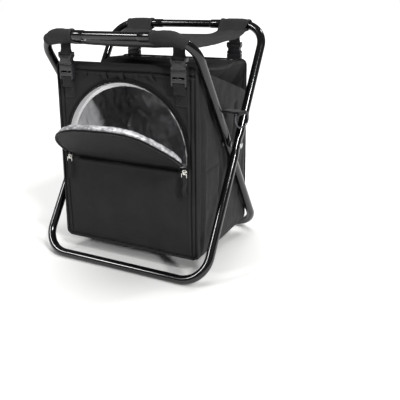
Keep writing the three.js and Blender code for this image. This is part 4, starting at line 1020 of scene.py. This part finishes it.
door_pad = door_shell(
    "door_lining_pad", arch_outline(PLUG_RADIUS, 192, DOOR_CORNER), FRONT + 4.5, FRONT + 6.2,
    lambda s, x, z: edge_roll(s, 2.6, 0.97), film_lift,
    lambda x, z: 1.1 * rumple((x, 5, z), 9, 18) + 0.8 * rumple((x, 5, z), 3.6, 19))
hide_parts("door_foam", "door_liner")
# The door's film is the lining film recoloured in noise patches between a darker and a lighter grey: painted
# shading and glints of its crumpled facets.
door_film_painted_glints = silver_film.copy()
door_film_painted_glints.name = "finely crumpled aluminised film"
painted_facet_glints = add_node(door_film_painted_glints, "MapRange", {"Value": (clouds(door_film_painted_glints, 120, 3, 0.6), "Fac")},
                  {"From Min": 0.4, "From Max": 0.6})
two_tones(door_film_painted_glints, (painted_facet_glints, "Result"), "#8c8c8f", "#c6c6c8")
dress(door_pad, door_film_painted_glints, "door", 60)

hinge_rows = []
for x in np.linspace(-98, 98, 60):
    wave = 0.25 * noise.noise(Vector((x / 12, 0, 0)))
    shut = np.array([(x, -104.6 + wave, 179.6), (x, -103.2 + wave, 181.4), (x, -101.1, 183), (x, -101.1, 184.4),
                     (x, HINGE_Y + 0.4, 186.6), (x, HINGE_Y - 0.7, 188)])
    flap = opened(np.array([(x, HINGE_Y - 1.6, 191), (x, HINGE_Y - 2.0, 195)]))
    hinge_rows.append(list(shut) + list(flap))
hinge = skin("door_hinge_strip", hinge_rows)
work(hinge, "SOLIDIFY", thickness=0.8 * MM, offset=0)
work(hinge, "SUBSURF", levels=1, render_levels=1)
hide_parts("door_hinge_binding")
binding_tape = woven("black binding tape", "#030303", "#0c0c0d", 0.9, 0.1, "UV", 0.7)
dress(hinge, binding_tape, None, 60)
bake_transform(hinge)


# The zip: woven tape sewn round the arch and round the door, with a nylon coil on each meeting edge. The
# door's half opens with the door.
zip_tape = woven("black woven zip tape", "#050505", "#151516", 0.9, 0.1, "UV", 0.6)
zip_coil = new_material("black nylon zip coil", "#1a1a1b", 0.2, Specular_IOR_Level=0.8)


def band(inner_radius, outer_radius, start, end):
    """A strip of tape along the arch, between two radii and two angles."""
    rows = []
    for a in np.linspace(math.radians(start), math.radians(end), 150):
        wave = 0.2 * noise.noise(Vector((math.cos(a) * 9, math.sin(a) * 9, 0)))
        profile = [(inner_radius, -104.45), (inner_radius, -105.3), (inner_radius + 0.4, -105.6),
                   (outer_radius - 0.5, -105.5), (outer_radius, -105.0), (outer_radius, -104.35)]
        rows.append([(r * math.cos(a), y + wave * 0.5, ARCH_HEIGHT + r * math.sin(a)) for r, y in profile])
    return rows


COIL_PITCH, COIL_STEPS, COIL_WIDE, COIL_DEEP = 1.6, 7, 1.15, 0.55


def coil(radius, start, end):
    """The path of one edge of the nylon coil, wound as a flattened spring."""
    length = radius * math.radians(end - start)
    steps = int(length / COIL_PITCH) * COIL_STEPS
    path = []
    for i in range(steps + 1):
        a = math.radians(start + (end - start) * i / steps)
        spin = 2 * math.pi * i / COIL_STEPS
        r = radius + COIL_WIDE * math.cos(spin)
        path.append((r * math.cos(a), FRONT - 2 + COIL_DEEP * math.sin(spin), ARCH_HEIGHT + r * math.sin(a)))
    return np.array(path)


for owner, body, tape_rows, coil_path in (
        ("bag", "bag_front", band(FACING_RADIUS, 122.2, -13, 193), coil(117.4, -10, 190)),
        ("door", "door", opened(band(110.8, DOOR_RADIUS, -1, 181)), opened(coil(113.8, 1, 179)))):
    tape = closed_skin(f"{owner}_zip_edge", tape_rows)
    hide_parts(f"{owner}_zip_tape")
    dress(tape, zip_tape, body, 60)
    wire = cord_round(f"{owner}_zip_coil", coil_path, 0.34, (0, 1, 0.02), closed=False, sides=5, merge=0)
    dress(wire, zip_coil, body, 80)

# Two zip sliders of die-cast zinc, nickel plated, each with a wire loop and a folded tab of narrow tape. The
# right tab hangs twisted, the left one almost flat.
nickel = plated("nickel-plated zinc die casting", "#d2d0cb", 380, 0.12, 0.34)


def from_node(name, node, width):
    """A copy of a plain solid with its edges rounded, as a moulding or casting has them."""
    made = bpy.data.objects.new(name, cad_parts[node].data.copy())
    bpy.context.scene.collection.objects.link(made)
    pick(made)
    bpy.ops.object.mode_set(mode="EDIT")
    bpy.ops.mesh.select_all(action="SELECT")
    bpy.ops.mesh.remove_doubles(threshold=0.00001)
    bpy.ops.mesh.dissolve_limited(angle_limit=math.radians(1))
    bpy.ops.object.mode_set(mode="OBJECT")
    work(made, "BEVEL", width=width * MM, segments=3, limit_method="ANGLE", angle_limit=math.radians(30))
    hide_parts(node)
    return made


webbing = woven("black polypropylene webbing", "#111111", "#2c2c2d", 1.5, 0.35, "UV", 0.7, 0.1)


def ribbon(name, centres, wide, thickness, edge=0.45):
    """A strap along a path of points, as a flattened tube with rounded edges; wide runs across it."""
    centres = np.asarray(centres, float)
    wide = np.asarray(wide, float)
    half, t = np.linalg.norm(wide) / 2, thickness / 2
    across = wide / (2 * half)
    lower = [(-half, -t * 0.3), (-half + edge, -t), (-half / 2, -t), (0, -t), (half / 2, -t), (half - edge, -t),
             (half, -t * 0.3)]
    ring = lower + [(a, -b) for a, b in lower[::-1]]
    rows = []
    for i, point in enumerate(centres):
        along = centres[min(i + 1, len(centres) - 1)] - centres[max(i - 1, 0)]
        along /= np.linalg.norm(along)
        up = np.cross(across, along)
        up /= np.linalg.norm(up)
        rows.append([point + across * a + up * b for a, b in ring])
    return closed_skin(name, rows)


PULL_X, PULL_Y, PULL_Z = 114.134, -110.8, 181.4
for mirror, side_name in ((1, "right"), (-1, "left")):
    slider = from_node(f"{side_name}_zip_slider", f"zip_slider_{side_name}", 0.45)
    dress(slider, nickel, f"{side_name}_slider", 40)
    x, y, z = mirror * PULL_X, PULL_Y, PULL_Z
    loop = start_ring(f"{side_name}_pull_wire", 0.7, (0, 0, 0), 12)
    for move, corner in (((3.7, 0, 0), (3.7, 0, -0.8)), ((0, 0, -5), (3.7, 0, -5.8)),
                         ((-7.4, 0, 0), (-3.7, 0, -5.8)), ((0, 0, 5), (-3.7, 0, -0.8))):
        draw(move)
        bend(90, corner, 5)
    draw((3.7, 0, 0))
    close_up(loop, (0, 0, 0), (x, y, z))
    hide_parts(f"pull_loop_{side_name}")
    dress(loop, nickel, f"{side_name}_pull", 60)
    path = [(0, -34), (0.55, -30), (0.6, -25), (0.6, -20), (0.62, -14), (0.65, -8), (0.9, -3)]
    path += [(1.3 * math.cos(a), 1.3 * math.sin(a)) for a in np.radians([-25, 10, 50, 90, 130, 170, 205])]
    path += [(-0.9, -3), (-0.65, -8), (-0.65, -13), (-0.75, -18), (-0.9, -23), (-1.1, -28), (-1.5, -33)]
    tab = ribbon(f"{side_name}_pull_tape", [(x, y + a, z - 6.6 + b) for a, b in path], (7, 0, 0), 0.85)
    twist, sway = (math.radians(62), 2.4) if mirror > 0 else (math.radians(12), 0.5)
    for vertex in tab.data.vertices:
        drop = unit((z - 8 - vertex.co.z / MM) / 30)
        turn = twist * math.sin(math.pi / 2 * min(1, drop * 2.2))
        a, b = vertex.co.x / MM - x, vertex.co.y / MM - y
        vertex.co.x = (x + a * math.cos(turn) - b * math.sin(turn) + sway * math.sin(drop * 6.6) * drop ** 0.5) * MM
        vertex.co.y = (y + a * math.sin(turn) + b * math.cos(turn)) * MM
    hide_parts(f"pull_tab_{side_name}")
    dress(tab, webbing, f"{side_name}_pull", 60)

# The hangers: at each corner a doubled 20 mm strap comes down from under the seat to a side-release buckle of
# acetal, and a webbing loop sewn to the bag carries the other half.
acetal = grained(
    "black acetal buckle moulding", "#1f1f21", 0.24, (1400, 2), 0.15, 0.2, Specular_IOR_Level=0.5)

MOUTH = 349
STRAP_WIDE, STRAP_THICK, BAR_RADIUS = (20, 0, 0), 1.4, 3.28


def round_bar(level, start, end):
    """The turn of a strap round a buckle bar, between two angles in degrees."""
    return [(BAR_RADIUS * math.cos(a), level + BAR_RADIUS * math.sin(a))
            for a in np.radians(np.linspace(start, end, 12))]


def add_block(made, place, size, rounding):
    """Moulds a small raised pad or bar on to a buckle."""
    bpy.ops.object.select_all(action="DESELECT")
    bpy.ops.mesh.primitive_cube_add(size=1, location=Vector(place) * MM, scale=Vector(size) * MM)
    block = bpy.context.object
    bpy.ops.object.transform_apply(location=True, rotation=True, scale=True)
    work(block, "BEVEL", width=rounding * MM, segments=3)
    made.select_set(True)
    bpy.context.view_layer.objects.active = made
    bpy.ops.object.join()


for end_name, side in (("front", -1), ("rear", 1)):
    for mirror, side_name in ((-1, "left"), (1, "right")):
        corner = f"{end_name}_{side_name}"
        body = "bag_front" if side < 0 else "bag_rear"
        x, y = mirror * STRAP_X, (-110 if side < 0 else 114)
        half = from_node(f"buckle_socket_{corner}_part", f"buckle_socket_{corner}", 0.7)
        add_block(half, (x, y + side * 4.55, MOUTH + 8), (12, 1.2, 9.5), 0.55)
        dress(half, acetal, f"{corner}_socket", 40)
        half = from_node(f"buckle_prongs_{corner}_part", f"buckle_prongs_{corner}", 0.6)
        add_block(half, (x - 2 * mirror, y, MOUTH - 13.5), (2.6, 5.4, 6.5), 0.5)
        dress(half, acetal, body, 40)
        bar = MOUTH + 18.5
        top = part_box(f"upper_strap_{corner}")[1].z / MM
        path = [(0.85, top), (0.95, top - 6), (0.85, bar + 7), *round_bar(bar, 25, -205),
                (-0.85, bar + 7), (-1.0, top - 6), (-0.9, top)]
        path = [(x, y - side * a, b) for a, b in path]
        strap = ribbon(f"hanging_strap_{corner}", path, STRAP_WIDE, STRAP_THICK)
        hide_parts(f"upper_strap_{corner}")
        dress(strap, webbing, None, 60)
        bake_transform(strap)
        bar = MOUTH - 25.5
        path = [(5, MOUTH - 60), (5, MOUTH - 50), (5, bar - 11), (3.4, bar - 8), (1.2, bar - 6),
                *round_bar(bar, -25, 205), (-1.0, bar - 6), (-1.6, bar - 9), (-3.0, bar - 14)]
        path = [(x, y - side * a, b) for a, b in path]
        lower = ribbon(f"sewn_webbing_{corner}", path, STRAP_WIDE, STRAP_THICK)
        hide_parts(f"lower_webbing_{corner}")
        dress(lower, webbing, body, 60)
        low, high = MOUTH - 58.5, MOUTH - 44
        box = ((-8.5, low), (8.5, low), (8.5, high), (-8.5, high), (-8.5, low), (8.5, high))
        sewn = [(x + a, y - side * 4.25, b) for a, b in box]
        seam = stitches(f"webbing_stitches_{corner}", sewn, (0, side, 0))
        dress(seam, thread, body, 80)

# A carrying ring on each side: dark plated wire bent to a D and held by a tab of 20 mm webbing. The tab is
# sewn flat to the gusset, stands out from it and goes round the straight side of the D.
ring_metal = plated("dark nickel-plated wire", "#55565a", 300, 0.16, 0.36)

RING_TURN = math.radians(65)
RING_X, RING_Y, RING_Z = 176.77, -22.27, 268.45
RING_WIRE, RING_HALF, TAB_ROOT = 1.75, 10.25, 134.2
for mirror, side_name in ((1, "right"), (-1, "left")):
    d_ring = start_ring(f"{side_name}_d_ring", RING_WIRE, (0, 0, 0), 20)
    draw((RING_HALF, 0, 0))
    bend(90, (RING_HALF, 0, -4), 7)
    draw((0, 0, -5.75))
    bend(180, (0, 0, -9.75), 28)
    draw((0, 0, 5.75))
    bend(90, (-RING_HALF, 0, -4), 7)
    draw((RING_HALF, 0, 0))
    close_up(d_ring, (0, 0, RING_TURN if mirror > 0 else math.pi - RING_TURN), (mirror * RING_X, RING_Y, RING_Z))
    bar = np.array([math.cos(RING_TURN), math.sin(RING_TURN), 0])
    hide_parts(f"d_ring_{side_name}")
    dress(d_ring, ring_metal, f"{side_name}_ring", 60)
    out = np.array([math.sin(RING_TURN), -math.cos(RING_TURN), 0])
    run = (RING_X - TAB_ROOT) / math.sin(RING_TURN)
    profile = [(run, -25), (run, -18), (run - 0.1, -9), (run - 1.2, -4.2), (run - 4, -1.6), (run * 0.7, 0.4),
               (run * 0.35, 0.9), (6.5, 0.9)]
    profile += [(-2.75 * math.sin(a), 2.75 * math.cos(a)) for a in np.radians(np.linspace(-25, 205, 13))]
    profile += [(6.5, -0.9), (run * 0.35, -0.9), (run * 0.7, -1.5), (run - 6, -3.6), (run - 2.9, -7),
                (run - 1.7, -12), (run - 1.6, -18), (run - 1.6, -24)]
    origin, lift = np.array([RING_X, RING_Y, RING_Z]), np.array([0, 0, 1.0])
    path = [(origin - out * a + lift * b) * (mirror, 1, 1) for a, b in profile]
    tab = ribbon(f"{side_name}_ring_tab", path, bar * 20 * (mirror, 1, 1), STRAP_THICK)
    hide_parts(f"ring_tab_{side_name}")
    dress(tab, webbing, "side_tabs", 60)

bpy.ops.object.select_all(action="DESELECT")
low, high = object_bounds()
